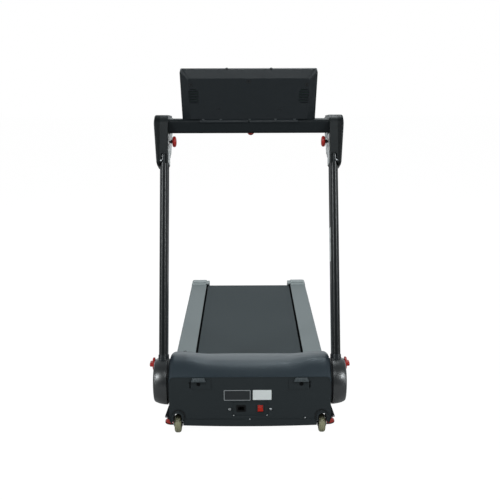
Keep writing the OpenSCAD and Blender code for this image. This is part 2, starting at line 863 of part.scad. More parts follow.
// The plate behind the front panel that holds the inlet and the switch
module inlet_plate() {
    open_w = rocker_w + 1.2;
    open_h = rocker_h + 3.4;
    cheek = 2;
    color("#1b1d1f") difference() {
        union() {
            block([-76, plate_y, inlet_z - 28], [78, plate_y + 2.5, inlet_z + 28]);
            block([rocker_x - open_w / 2 - 2.5, plate_y - 2.5, inlet_z - open_h / 2 - 2.5],
                  [rocker_x + open_w / 2 + 2.5, plate_y + 1, inlet_z + open_h / 2 + 2.5]);
            block([rocker_x - open_w / 2 - cheek, plate_y + 1, inlet_z - open_h / 2],
                  [rocker_x + open_w / 2 + cheek, rocker_pivot_y + 5, inlet_z + open_h / 2]);
        }
        block([rocker_x - open_w / 2, plate_y - 4, inlet_z - open_h / 2 + 0.01],
              [rocker_x + open_w / 2, rocker_pivot_y + 6, inlet_z + open_h / 2 - 0.01]);
        translate([0, rocker_pivot_y, inlet_z])
            rod_x(1.5 + turn_fit, rocker_x - open_w, rocker_x + open_w);
        block([inlet_x - 13.6, plate_y - 1, inlet_z - 10.1],
              [inlet_x + 13.6, plate_y + 4, inlet_z + 10.1]);
    }
}

// The mains inlet: a flanged socket with three blades
module power_inlet() {
    y0 = plate_y - 1.5;
    color("#121314") {
        difference() {
            union() {
                translate([inlet_x, 0, inlet_z]) along_y(y0, plate_y) soft_rect(32, 24, 3);
                block([inlet_x - 13.5, plate_y, inlet_z - 10],
                      [inlet_x + 13.5, plate_y + 24, inlet_z + 10]);
            }
            translate([inlet_x, 0, inlet_z]) along_y(y0 - 1, plate_y + 18) polygon([
                [-10.8, -7], [10.8, -7], [10.8, 3.5], [7.3, 7], [-7.3, 7], [-10.8, 3.5]]);
        }
        for (p = [[-7, -1.5], [0, 1.5], [7, -1.5]]) {
            translate([inlet_x + p[0] - 1, plate_y + 6, inlet_z + p[1] - 2]) cube([2, 13, 4]);
        }
    }
}

// The red rocker of the mains switch, drawn pressed on its upper side
module power_rocker() {
    h = rocker_h / 2;
    color("#c22d1e") translate([rocker_x, rocker_pivot_y, inlet_z]) rotate([-rocker_tilt, 0, 0]) {
        along_x(-rocker_w / 2, rocker_w / 2)
            polygon([[-12.5, h], [-10, 0], [-12.5, -h], [-5, -h], [-1, -4], [1, 0], [-1, 4], [-5, h]]);
        rod_x(1.5, -rocker_w / 2 - 2, rocker_w / 2 + 2);
    }
}

// Wheels and feet ----------------------------------------------------------------------

// The two forks under the frame's front ends, each with its riveted axle
module wheel_forks() {
    t = 2;
    gap = 1;
    color("#232628") pair() translate([wheel_x, wheel_y, 0]) {
        for (s = [-1, 1]) {
            along_x(s * (wheel_w / 2 + gap + t / 2) - t / 2, s * (wheel_w / 2 + gap + t / 2) + t / 2) {
                translate([0, wheel_d / 2]) circle(11);
                polygon([[-11, wheel_d / 2], [11, wheel_d / 2 - 1], [46, frame_bottom_z - 1],
                         [-1, frame_bottom_z - 1]]);
            }
        }
        block([-wheel_w / 2 - gap - t, -1, frame_bottom_z - t],
              [wheel_w / 2 + gap + t, 48, frame_bottom_z]);
        translate([0, 0, wheel_d / 2])
            rod_x(axle_d / 2, -wheel_w / 2 - gap - t - 1, wheel_w / 2 + gap + t + 1);
    }
}

// A transport wheel with rounded tread and a thinner web
module wheel() {
    r = wheel_d / 2;
    w = wheel_w / 2;
    crown = 8.5;
    color("#96966e") translate([wheel_x, wheel_y, r]) rotate([0, 90, 0]) rotate_extrude() {
        translate([axle_d / 2 + turn_fit, -w]) square([7, wheel_w]);
        translate([axle_d / 2 + 6, -w / 2]) square([r - axle_d / 2 - 12, w]);
        translate([r - 13, -w]) square([13 - crown, wheel_w]);
        translate([r - crown, crown - w]) square([crown, wheel_w - 2 * crown]);
        for (s = [-1, 1]) translate([r - crown, s * (w - crown)]) circle(crown);
    }
}

// The side feet under the side plates: a rubber ring with a dished disc on it
module side_feet() {
    r = foot_d / 2;
    color("#a8322b") pair() translate([side_plate_x0 - 2, pivot_y + 33, 0]) rotate_extrude() {
        square([r, 4]);
        polygon([[0, 3], [r - 1, 3], [r - 1, 7], [r - 8, foot_h], [0, foot_h]]);
    }
}

// The rear feet: rubber pads on stems under the frame
module rear_feet() {
    color("#17181a") pair() translate([frame_mid_x, rear_roller_y - 60, 0]) rotate_extrude() {
        square([22, 10]);
        polygon([[0, 9], [22, 9], [13, 28], [13, frame_bottom_z], [0, frame_bottom_z]]);
    }
}

// Uprights -----------------------------------------------------------------------------

// The two headed bolts that the uprights fold on
module pivot_bolts() {
    color("#b9bdc0") pair() translate([0, pivot_y, pivot_z]) {
        rod_x(pivot_d / 2, frame_out_x, tube_x1 + 2);
        rod_x(bolt_head_d / 2, tube_x1 + running_gap, tube_x1 + running_gap + 8);
    }
}

// A flat-oval tube with cross bushes for the pivot bolt and the clamp screw
module upright() {
    low = -46;
    high = upright_l - bracket_l + sleeve_l;
    color("#1f2224") on_upright() difference() {
        union() {
            translate([tube_x, 0, low]) linear_extrude(high - low) difference() {
                oval(tube_w, tube_d);
                oval(tube_w - 2 * tube_wall, tube_d - 2 * tube_wall);
            }
            rod_x(pivot_d / 2 + 5, tube_x0, tube_x1);
            translate([0, 0, lower_knob_up]) rod_x(stud_d / 2 + 4, tube_x0, tube_x1);
        }
        rod_x(pivot_d / 2 + turn_fit, tube_x0 - 1, tube_x1 + 1);
        translate([0, 0, lower_knob_up]) rod_x(stud_d / 2 + turn_fit, tube_x0 - 1, tube_x1 + 1);
    }
}

// Half the outline of a pivot cover: a crowned side, a round edge and a slightly domed face
function cover_line() = let (r = cover_d / 2, h = cover_h + 1, e = h - cover_dome) concat(
    [for (i = [0 : 8]) curve([[r - 0.8, 0], [r + 0.6, h * 0.35], [r - 0.2, h * 0.65],
                              [r - 3, e - 4]], i / 8)],
    [for (i = [1 : 6]) curve([[r - 3, e - 4], [r - 4, e], [r - 7, e + 2], [r - 12, e + 3]], i / 6)],
    [for (i = [1 : 8]) curve([[r - 12, e + 3], [r - 30, h - 1], [r * 0.3, h], [0, h]], i / 8)]);

// The form of a pivot cover, drawn in by d
module cover_form(d) {
    translate([cover_x0 - 1, 0, 0]) rotate([0, 90, 0]) rotate_extrude($fn = 96)
        polygon(concat([[0, -d]], [for (p = cover_line()) [max(0, p[0] - d), p[1] - d]]));
}

// The round moulded cover over a fold pivot
module pivot_cover() {
    wall = 3;
    color("#26292b") on_upright() difference() {
        union() {
            difference() {
                cover_form(0);
                cover_form(wall);
                block([cover_x0 - 3, -cover_d, -cover_d], [cover_x0, cover_d, cover_d]);
            }
            intersection() {
                cover_form(0);
                union() {
                    rod_x(24, tube_x1, cover_x1);
                    translate([0, 0, lower_knob_up])
                        rod_x(lower_knob_d / 2 + 2, tube_x1, cover_x1);
                }
            }
        }
        rod_x(18, tube_x1 - 1, tube_x1 + 12);
        translate([tube_x, 0, 0]) linear_extrude(cover_d) oval(tube_w + 0.04, tube_d + 0.04);
        translate([0, 0, lower_knob_up]) {
            rod_x(stud_d / 2 + 1, tube_x1 - 1, cover_x1);
            rod_x(lower_knob_d / 2 + side_gap, knob_seat - 1, cover_x1 + 1);
        }
    }
}

// The moulded collars around the tubes, just above the pivot covers
module upright_collars() {
    top = cover_d / 2 + 8;
    color("#2d3133") pair() on_upright() difference() {
        translate([tube_x, 0, lower_knob_up]) linear_extrude(top - lower_knob_up)
            difference() {
                oval(tube_w + 4, tube_d + 7);
                oval(tube_w + 0.04, tube_d + 0.04);
            }
        rod_x(cover_d / 2 + 0.7, tube_x0 - 20, tube_x1 + 20);
        block([0, -tube_d, 0], [side_plate_x1 + side_gap, tube_d, top + 1]);
    }
}

// Brackets -----------------------------------------------------------------------------

// A bracket seen from the side, in Y and Z, without its screws and bores
module bracket_outline() {
    translate([pivot_y, pivot_z]) rotate(-lean) {
        translate([0, upright_l]) circle(crown_r);
        translate([-44, upright_l - bracket_l]) square([88, bracket_l]);
    }
    translate([bar_y, bar_z]) polygon([
        [0, crown_r], [grip_y0, 24], [grip_y0, -26], [46, -119], [0, -60]]);
}

// The moulded bracket that clasps a tube's end and carries crossbar and hand grip
module bracket() {
    spigot = 70;
    window_w = 20;
    low = upright_l - bracket_l;
    color("#26292b") {
        difference() {
            along_x(tube_x0, tube_x1) bracket_outline();
            on_upright() translate([0, 0, upright_l]) {
                rod_x(journal_d / 2 + turn_fit, tube_x0 - 1, tube_x1 + 1);
                translate([0, 0, -upper_knob_down])
                    rod_x(stud_d / 2 + turn_fit, tube_x0 - 1, lock_x);
                along_x(lock_x - side_gap, tube_x1 + 1) {
                    sector(lock_r + 1.5, -lock_to - 3, lock_to + 3);
                    circle(journal_d / 2 + 7);
                }
            }
            on_upright() translate([tube_x, 0, low]) {
                translate([0, 0, -20]) linear_extrude(sleeve_l + 20)
                    oval(tube_w + 0.04, tube_d + 0.04);
                rotate([90, 0, 0]) linear_extrude(tube_d) {
                    translate([-window_w / 2, -20])
                        square([window_w, sleeve_l + 10 - window_w / 2]);
                    translate([0, sleeve_l - 10 - window_w / 2]) circle(window_w / 2);
                }
            }
        }
        on_upright() translate([tube_x, 0, low + sleeve_l - spigot]) linear_extrude(spigot + 1)
            oval(tube_w - 2 * tube_wall - 0.4, tube_d - 2 * tube_wall - 0.4);
        translate([tube_x, bar_y, bar_z - 1]) rod_y(9, grip_y0 - 1, grip_y0 + grip_l - 8);
    }
}

// The outer shell over a bracket's crown, tapering towards its lower end
module bracket_cover() {
    wall = 3;
    color("#2d3133") on_upright() difference() {
        bracket_cover_form(0);
        bracket_cover_form(wall);
    }
}

// The solid form of the outer bracket cover, drawn in by d
module bracket_cover_form(d) {
    x0 = tube_x1 - (d > 0 ? 1 : 0);
    edge = 7;
    foot = 12;
    hull() {
        translate([0, 0, upright_l]) {
            rod_x(crown_r - d, x0, tube_x1 + bracket_dome - edge, $fn = 48);
            rod_x(crown_r - 2 - d, x0, tube_x1 + bracket_dome - 3 - d / 2, $fn = 48);
            rod_x(crown_r - edge - d, x0, tube_x1 + bracket_dome - d, $fn = 48);
        }
        for (s = [-1, 1]) translate([0, s * 30, upright_l - bracket_l + foot - 8]) {
            rod_x(14 - d, x0, tube_x1 + foot - edge, $fn = 32);
            rod_x(14 - edge * 0.7 - d, x0, tube_x1 + foot - d, $fn = 32);
        }
    }
}

// The pale plates on the inner faces of the brackets, set back from the front edge
module bracket_liners() {
    color("#b9bec0") pair() difference() {
        intersection() {
            along_x(liner_x0, tube_x0) bracket_outline();
            translate([0, 22, -4]) along_x(liner_x0 - 1, tube_x0 + 1) bracket_outline();
        }
        on_upright() translate([0, 0, upright_l]) {
            rod_x(bar_d / 2 + 7, liner_x0 - 1, tube_x0 + 1);
            translate([0, 0, -upper_knob_down]) rod_x(stud_d / 2 + 1, liner_x0 - 1, tube_x0 + 1);
        }
        on_bar() block([0, -100, -10], [tube_x1, grip_y0 + 1, 100]);
        on_upright() block([0, -100, 0], [tube_x1, -12, upright_l]);
    }
}

// The ribbed rubber grip on the bracket's rear peg
module hand_grip() {
    r = grip_d / 2;
    ribs = 7;
    color("#17181a") translate([tube_x, bar_y + grip_y0, bar_z - 1]) rotate([-90, 0, 0])
        rotate_extrude() difference() {
            union() {
                translate([9.02, 0]) square([r - 9.02, grip_l - r * 0.6]);
                intersection() {
                    translate([0, grip_l - r * 0.6 - 1]) square([r, r]);
                    translate([0, grip_l - r]) circle(r);
                }
            }
            translate([0, -1]) square([9.02, grip_l - 6.9]);
            for (i = [1 : ribs]) translate([r + 1.2, i * (grip_l - r) / ribs]) circle(2.2);
        }
}

// Knobs --------------------------------------------------------------------------------

// A lower clamp knob: stud, round flange and a cross bar to turn it by
module lower_knob() {
    seat = knob_seat;
    color("#b8332c") on_upright() translate([0, 0, lower_knob_up]) {
        rod_x(stud_d / 2, side_plate_x1 - groove_t + 0.4, seat + 1);
        rod_x(lower_knob_d / 2, seat, seat + 5);
        rod_x(lower_knob_d / 2 - 3, seat + 4, seat + 7);
        along_x(seat + 6, seat + 17) soft_rect(34, 14, 6);
    }
}

// An upper clamp knob: stud and a lens-shaped head on the bracket's inner side
module upper_knob() {
    x1 = liner_x0 - 10.5;
    r = upper_knob_d / 2;
    h = 15;
    line = [for (i = [0 : 12]) curve([[5, 0], [r - 2, 0], [r + 1, 4], [r, h / 2]], i / 12)];
    color("#96281f") on_upright() translate([0, 0, upright_l - upper_knob_down]) {
        rod_x(stud_d / 2, x1 - 1, lock_x - 0.5);
        translate([x1, 0, 0]) rotate([0, -90, 0]) rotate_extrude() polygon(concat([[0, 0]], line,
            [for (i = [11 : -1 : 0]) [line[i][0], h - line[i][1]]], [[0, h]]));
    }
}

// Console ------------------------------------------------------------------------------

// The crossbar with its end journals, lock plates and the seat of the safety key
module crossbar() {
    color("#2b3035") on_bar() {
        difference() {
            along_x(-bar_x, bar_x) soft_rect(bar_d, bar_h, bar_corner);
            along_x(-bar_x + 4, bar_x - 4)
                soft_rect(bar_d - 2 * bar_wall, bar_h - 2 * bar_wall, bar_corner - bar_wall);
        }
        pair() {
            rod_x(journal_d / 2, bar_x - 4, lock_x + lock_t + 5);
            along_x(lock_x, lock_x + lock_t) rotate(-lean) {
                sector(lock_r, lock_from, lock_to);
                circle(journal_d / 2 + 5);
            }
        }
        translate([7, 0, -bar_h / 2 + 4]) rod_y(7.5, bar_d / 2 - 8, bar_d / 2 + 4);
    }
}

// The round magnetic safety key on the user's side of the crossbar
module safety_key() {
    color("#c22d1e") on_bar() translate([7, 0, -bar_h / 2 + 1]) rotate([-90, 0, 0])
        translate([0, 0, bar_d / 2 + 4 + running_gap]) rotate_extrude() {
            square([12.6, 6]);
            translate([0, 5]) square([10, 5]);
            translate([9, 5]) circle(2.5);
        }
}

// Everything above the crossbar's level top
module above_bar() {
    on_bar() block([-console_w, -200, bar_h / 2], [console_w, 200, 400]);
}

// The bevelled form of the back shell, drawn in by d
module back_form(d) {
    z0 = console_z0 - 14;
    bevel_x = 29;
    bevel_z = 32.5;
    r = 14;
    hull() {
        for (x = [-1, 1], low = [0, 1]) {
            translate([x * (console_w / 2 - r - low * console_taper), 0, low ? z0 : console_z1 - r])
                rod_y(r - d, 1.5, 6 + (d > 0 ? 1 : 0), $fn = 32);
            translate([x * (console_w / 2 - bevel_x - 6 - low * console_taper), 0,
                       low ? z0 : console_z1 - bevel_z])
                rod_y(6 - d * 0.5, back_y + d, back_y + d + 1, $fn = 32);
        }
    }
}

// The lip of the back shell that hugs the crossbar's upper front edge
module console_lip() {
    l = 172;
    t = 4;
    notch = 5;
    c = [bar_corner - bar_d / 2, bar_h / 2 - bar_corner];
    on_bar() difference() {
        along_x(-l, l) difference() {
            intersection() {
                translate(c) circle(bar_corner + t);
                translate(c - [bar_corner + t, 0]) square([bar_corner + t, bar_corner + t]);
            }
            translate(c) circle(bar_corner + 0.05);
        }
        translate([0, c[0], c[1] - 1]) along_y(-bar_corner - t - 1, 0)
            polygon([[-notch, 0], [notch, 0], [0, bar_corner - 1]]);
    }
}

// The bevelled back shell with its two speaker grilles
module console_back() {
    slots = 9;
    pitch = 6;
    slot_h = 2.4;
    grille_w = 36;
    grille_z = console_z0 + 93;
    color("#23282b") {
        intersection() {
            above_bar();
            on_console() difference() {
                back_form(0);
                back_form(console_wall);
                pair() translate([grille_x, 0, grille_z]) intersection() {
                    along_y(back_y - 1, back_y + console_wall + 1)
                        soft_rect(grille_w, slots * pitch, 12);
                    for (i = [0 : slots - 1]) {
                        translate([-grille_w, back_y - 2, (i - slots / 2 + 0.5) * pitch])
                            cube([2 * grille_w, console_wall + 4, slot_h]);
                    }
                }
            }
        }
        console_lip();
    }
}

// The user's side of the console: a tray with the window's recess and the key holes
module console_front() {
    z0 = console_z0 - 14;
    h = console_z1 - z0;
    r = 14;
    color("#1d2022") intersection() {
        above_bar();
        on_console() difference() {
            translate([0, 0, z0 + h / 2]) along_y(6, fascia_y)
                tapered_rect(console_w, h, r, console_taper);
            intersection() {
                translate([0, 0, z0 + h / 2]) along_y(5, fascia_y - console_wall)
                    tapered_rect(console_w - 2 * console_wall, h - 2 * console_wall,
                                 r - console_wall, console_taper);
                along_x(-console_w, console_w) console_side(console_wall);
            }
            difference() {
                block([-console_w, 5, z0], [console_w, fascia_y + 1, console_z1 + 1]);
                along_x(-console_w, console_w) console_side(0);
            }
            translate([0, 0, display_z]) along_y(fascia_y - 2, fascia_y + 1)
                soft_rect(display_w, display_h, 5);
            for (x = key_places) translate([x, 0, key_z]) along_y(5, fascia_y + 1)
                soft_rect(key_w + 2 * running_gap, key_h + 2 * running_gap, 3 + running_gap);
        }
    }
}

// The side of the front shell, its top falling towards the user, lowered by d
module console_side(d) {
    fall = 13;
    polygon([[4, console_z0 - 30], [fascia_y + 1, console_z0 - 30],
             [fascia_y + 1, console_z1 - fall - d], [10, console_z1 - d], [4, console_z1 - d]]);
}

// The display window in its recess
module display() {
    color("#0e1214") on_console() translate([0, 0, display_z])
        along_y(fascia_y - 2, fascia_y - 0.2) soft_rect(display_w - 0.4, display_h - 0.4, 4.8);
}

// One push key with the flange that keeps it behind the front shell
module push_key(i, tint) {
    color(tint) on_console() translate([key_places[i], 0, key_z]) {
        along_y(fascia_y - 6, fascia_y + 2) soft_rect(key_w, key_h, 3);
        along_y(fascia_y - console_wall - running_gap - 3, fascia_y - console_wall - running_gap)
            soft_rect(key_w + 5, key_h + 5, 4);
    }
}

// The printed board, the key pads on it and the two loudspeakers
module console_electronics() {
    y1 = fascia_y - 16;
    z0 = bar_h / 2 + 2;
    color("#2f5d3a") on_console() {
        block([-110, y1 - 2, console_z0 + 24], [110, y1, console_z0 + 165]);
        for (x = key_places) translate([x, 0, key_z]) rod_y(4, y1 - 1, y1 + 4);
        for (s = [-1, 1]) translate([s * (grille_x - 5), 0, console_z0 + 93]) {
            rod_y(24, back_y + console_wall + 4, back_y + console_wall + 9);
            rod_y(15, back_y + console_wall + 8, back_y + console_wall + 20);
        }
    }
}

// Drawing ------------------------------------------------------------------------------

on_side(-1) frame_rail();  // left_frame_rail
on_side(1) frame_rail();  // right_frame_rail
front_cross_member();
cross_member(60);  // middle_cross_member
cross_member(rear_roller_y - 60);  // rear_cross_member
on_side(-1) side_plate();  // left_side_plate
on_side(1) side_plate();  // right_side_plate
running_deck();
deck_cushions();
running_belt();
roller_shafts();
roller_bearings();
front_roller();
roller(rear_roller_y);  // rear_roller
motor_body();
motor_rotor();
drive_belt();
motor_controller();
hood_cover();
front_panel();
motor_pan();
on_side(-1) foot_rail();  // left_foot_rail
on_side(1) foot_rail();  // right_foot_rail
end_caps();
inlet_plate();
power_inlet();
power_rocker();
wheel_forks();
on_side(-1) wheel();  // left_wheel
on_side(1) wheel();  // right_wheel
side_feet();
rear_feet();
pivot_bolts();
on_side(-1) upright();  // left_upright
on_side(1) upright();  // right_upright
on_side(-1) pivot_cover();  // left_pivot_cover
on_side(1) pivot_cover();  // right_pivot_cover
upright_collars();
on_side(-1) bracket();  // left_bracket
on_side(1) bracket();  // right_bracket
on_side(-1) bracket_cover();  // left_bracket_cover
on_side(1) bracket_cover();  // right_bracket_cover
bracket_liners();
on_side(-1) hand_grip();  // left_hand_grip
on_side(1) hand_grip();  // right_hand_grip
on_side(-1) lower_knob();  // left_lower_knob
on_side(1) lower_knob();  // right_lower_knob
on_side(-1) upper_knob();  // left_upper_knob
on_side(1) upper_knob();  // right_upper_knob
crossbar();
console_back();
console_front();
display();
console_electronics();
safety_key();
push_key(0, "#3f7a48");  // start_key
push_key(1, "#a8332c");  // stop_key
push_key(2, "#5b6265");  // faster_key
push_key(3, "#5b6265");  // slower_key
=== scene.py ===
"""Folding motorised treadmill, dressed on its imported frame.

Units are metres and the frame is the part's own: +Z up, -Y the motor end, left is -X.
The object is put together from the floor up, one section for each piece or group of like pieces.
"""
import math
import bmesh
import bpy
import numpy as np
from mathutils import Matrix, Vector


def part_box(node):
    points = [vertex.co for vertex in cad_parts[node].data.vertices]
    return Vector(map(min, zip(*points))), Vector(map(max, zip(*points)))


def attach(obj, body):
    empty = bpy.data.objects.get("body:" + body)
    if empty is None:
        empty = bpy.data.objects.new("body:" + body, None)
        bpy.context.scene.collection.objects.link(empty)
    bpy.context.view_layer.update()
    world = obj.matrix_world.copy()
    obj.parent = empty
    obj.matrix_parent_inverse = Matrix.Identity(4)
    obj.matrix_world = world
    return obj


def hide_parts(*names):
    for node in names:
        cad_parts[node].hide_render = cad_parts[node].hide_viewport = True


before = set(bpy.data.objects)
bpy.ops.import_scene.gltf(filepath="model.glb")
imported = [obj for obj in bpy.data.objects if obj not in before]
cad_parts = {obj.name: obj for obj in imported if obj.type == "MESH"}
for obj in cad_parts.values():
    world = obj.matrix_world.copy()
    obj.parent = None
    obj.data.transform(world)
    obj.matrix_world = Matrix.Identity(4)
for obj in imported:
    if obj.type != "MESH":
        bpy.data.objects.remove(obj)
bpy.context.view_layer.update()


# Camera ---------------------------------------------------------------------------------
# Stands at eye height in front of the motor end and looks down a little, close to the
# machine's middle plane.
camera_data = bpy.data.cameras.new("camera")
camera_data.sensor_width = 36.0
camera_data.lens = 64.8
camera_data.clip_end = 60.0
camera = bpy.data.objects.new("camera", camera_data)
bpy.context.scene.collection.objects.link(camera)
place, yaw, tilt, roll = (-0.012, -3.570, 1.285), -0.27, 90 - 12.65, -0.16
camera.matrix_world = (Matrix.Translation(place)
                       @ Matrix.Rotation(math.radians(yaw), 4, "Z")
                       @ Matrix.Rotation(math.radians(tilt), 4, "X")
                       @ Matrix.Rotation(math.radians(roll), 4, "Z"))
bpy.context.scene.camera = camera
bpy.context.scene.view_settings.view_transform = "Standard"


# Studio ---------------------------------------------------------------------------------
# A white sweep with a soft lamp overhead, a tall strip at each side for the uprights' long
# highlights, a small lamp at each side in front for the spots on the drums, a wide one above
# the front for the console's bevel, and a weak one behind for the rear edges.
def link(tree, source, target):
    """Joins an output socket to an input socket."""
    tree.links.new(source, target)


def node(tree, kind, **values):
    """A new shader node of a kind; each value goes to the input of that name, in which an
    underscore stands for a space."""
    made = tree.nodes.new("ShaderNode" + kind)
    for label, value in values.items():
        made.inputs[label.replace("_", " ")].default_value = value
    return made


def maths(tree, operation, *terms):
    """The output of a Math node whose terms are output sockets or numbers."""
    made = node(tree, "Math")
    made.operation = operation
    for slot, term in zip(made.inputs, terms):
        if isinstance(term, bpy.types.NodeSocket):
            link(tree, term, slot)
        else:
            slot.default_value = term
    return made.outputs[0]


def either(tree, share, first, second):
    """The output of a Mix Shader node: first where share is 0, second where it is 1."""
    made = node(tree, "MixShader")
    for slot, source in zip(made.inputs, (share, first, second)):
        link(tree, source, slot)
    return made.outputs[0]


def studio_world():
    """White to the camera; for reflections dim in front of the machine, brighter behind it,
    and brightest low down at the back, where the white sweep stands."""
    world = bpy.data.worlds.new("studio")
    world.use_nodes = True
    tree = world.node_tree
    tree.nodes.clear()
    split = node(tree, "SeparateXYZ")
    link(tree, node(tree, "TexCoord").outputs["Generated"], split.inputs[0])
    depth = node(tree, "MapRange", From_Min=-0.35, From_Max=0.6, To_Min=0.08, To_Max=0.42)
    link(tree, split.outputs["Y"], depth.inputs["Value"])
    low = node(tree, "MapRange", From_Min=0.14, From_Max=0.32, To_Min=1.1, To_Max=0.0)
    link(tree, split.outputs["Z"], low.inputs["Value"])
    behind = maths(tree, "GREATER_THAN", split.outputs["Y"], 0.2)
    sweep = maths(tree, "MULTIPLY_ADD", low.outputs["Result"], behind, depth.outputs["Result"])
    mirror = node(tree, "Background", Color=(0.9, 0.97, 1.0, 1))
    link(tree, sweep, mirror.inputs["Strength"])
    soft = node(tree, "Background", Color=(0.96, 0.985, 1.0, 1), Strength=0.17)
    white = node(tree, "Background", Color=(1, 1, 1, 1), Strength=1.0)
    ray = node(tree, "LightPath")
    seen = maths(tree, "MAXIMUM", ray.outputs["Is Camera Ray"], ray.outputs["Is Transmission Ray"])
    unseen = either(tree, ray.outputs["Is Glossy Ray"], soft.outputs[0], mirror.outputs[0])
    shown = either(tree, seen, unseen, white.outputs[0])
    link(tree, shown, node(tree, "OutputWorld").inputs[0])
    bpy.context.scene.world = world


def studio_floor():
    """A large pale plane that stays white to the camera and keeps a faint contact shadow."""
    reach, drop, grey, strength, share = 14, 0.0006, (0.5, 0.5, 0.5, 1), 1.12, 0.88
    mesh = bpy.data.meshes.new("studio_floor")
    corners = [(-reach, -reach, 0), (reach, -reach, 0), (reach, reach, 0), (-reach, reach, 0)]
    mesh.from_pydata(corners, [], [(0, 1, 2, 3)])
    floor = bpy.data.objects.new("studio_floor", mesh)
    bpy.context.scene.collection.objects.link(floor)
    floor.location.z = -drop
    paint = bpy.data.materials.new("studio_floor_paint")
    paint.use_nodes = True
    tree = paint.node_tree
    tree.nodes.clear()
    lit = node(tree, "BsdfDiffuse", Color=grey)
    glow = node(tree, "Emission", Strength=strength)
    seen = maths(tree, "MULTIPLY", node(tree, "LightPath").outputs["Is Camera Ray"], share)
    shown = either(tree, seen, lit.outputs[0], glow.outputs[0])
    link(tree, shown, node(tree, "OutputMaterial").inputs[0])
    mesh.materials.append(paint)


def lamp(name, place, aim, size, power):
    """A rectangular soft lamp at place, turned towards aim."""
    data = bpy.data.lights.new(name, "AREA")
    data.shape = "RECTANGLE"
    data.size, data.size_y = size
    data.energy = power
    data.color = (0.93, 0.98, 1.0)
    obj = bpy.data.objects.new(name, data)
    bpy.context.scene.collection.objects.link(obj)
    obj.rotation_euler = (Vector(aim) - Vector(place)).to_track_quat("-Z", "Y").to_euler()
    obj.location = place


studio_world()
studio_floor()
lamp("overhead", (0.4, 0.75, 3.3), (0.0, -0.35, 0.2), (0.9, 1.2), 34)
lamp("left_strip", (-3.3, -2.3, 1.4), (0.0, -0.5, 0.7), (0.5, 2.6), 18)
lamp("right_strip", (3.3, -2.3, 1.4), (0.0, -0.5, 0.7), (0.5, 2.6), 18)
lamp("left_front", (-3.3, -3.2, 2.4), (0.0, -0.6, 0.4), (0.7, 0.9), 62)
lamp("right_front", (3.3, -3.2, 2.4), (0.0, -0.6, 0.4), (0.7, 0.9), 62)
lamp("front_top", (0.0, -3.3, 3.3), (0.0, -0.5, 0.9), (1.8, 0.4), 22)
lamp("rear_rim", (0.0, 3.3, 2.7), (0.0, -0.4, 0.3), (0.9, 1.3), 12)


# Frame ----------------------------------------------------------------------------------
# Two rectangular steel tubes joined by two cross tubes and a pressed channel, welded and
# powder coated black. The side plates with their foot webs are welded on outside.
def moulded_finish_group():
    """Builds the shared finish: fine grain for the bump, tone and roughness that drift over
    the surface, and a little dust on faces that look up."""
    group = bpy.data.node_groups.new("moulded_finish", "ShaderNodeTree")
    for label, kind, value in (("Position", "Vector", None),
                               ("Colour", "Color", (0.1, 0.1, 0.1, 1)),
                               ("Tone shift", "Float", 0.1),
                               ("Grain size", "Float", 900.0),
                               ("Roughness", "Float", 0.4),
                               ("Roughness shift", "Float", 0.1),
                               ("Dust", "Float", 0.1)):
        socket = group.interface.new_socket(name=label, in_out="INPUT",
                                            socket_type="NodeSocket" + kind)
        if value is not None:
            socket.default_value = value
    for label, kind in (("Colour", "Color"), ("Roughness", "Float"), ("Height", "Float")):
        group.interface.new_socket(name=label, in_out="OUTPUT", socket_type="NodeSocket" + kind)
    ins, outs = group.nodes.new("NodeGroupInput"), group.nodes.new("NodeGroupOutput")
    broad = node(group, "TexNoise", Scale=3.2, Detail=3.0)
    small = node(group, "TexNoise", Scale=38.0, Detail=5.0)
    grain = node(group, "TexNoise", Detail=2.0)
    for noise in (broad, small, grain):
        link(group, ins.outputs["Position"], noise.inputs["Vector"])
    link(group, ins.outputs["Grain size"], grain.inputs["Scale"])
    drift = maths(group, "ADD", maths(group, "MULTIPLY", broad.outputs["Fac"], 0.6),
                  maths(group, "MULTIPLY", small.outputs["Fac"], 0.4))
    swing = maths(group, "SUBTRACT", drift, 0.5)
    shift = maths(group, "MULTIPLY", maths(group, "MULTIPLY", swing, 2.0),
                  ins.outputs["Tone shift"])
    scaled = node(group, "VectorMath")
    scaled.operation = "SCALE"
    link(group, ins.outputs["Colour"], scaled.inputs[0])
    link(group, maths(group, "ADD", shift, 1.0), scaled.inputs["Scale"])
    split = node(group, "SeparateXYZ")
    link(group, node(group, "NewGeometry").outputs["Normal"], split.inputs[0])
    up = maths(group, "MAXIMUM", split.outputs["Z"], 0.0)
    patch = maths(group, "MULTIPLY", small.outputs["Fac"], up)
    dust = maths(group, "MULTIPLY", patch, ins.outputs["Dust"])
    mix = node(group, "Mix")
    mix.data_type = "RGBA"
    link(group, dust, mix.inputs["Factor"])
    link(group, scaled.outputs[0], mix.inputs["A"])
    mix.inputs["B"].default_value = (0.42, 0.41, 0.39, 1)
    link(group, mix.outputs["Result"], outs.inputs["Colour"])
    rough = maths(group, "ADD", ins.outputs["Roughness"],
                  maths(group, "MULTIPLY", swing, ins.outputs["Roughness shift"]))
    link(group, maths(group, "ADD", rough, maths(group, "MULTIPLY", dust, 0.5)),
         outs.inputs["Roughness"])
    link(group, grain.outputs["Fac"], outs.inputs["Height"])
    return group


moulded_group = moulded_finish_group()


def srgb(r, g, b):
    """A display colour, 0 to 255, as the linear values a shader takes."""
    c = np.array([r, g, b]) / 255.0
    return tuple(np.where(c <= 0.04045, c / 12.92, ((c + 0.055) / 1.055) ** 2.4))


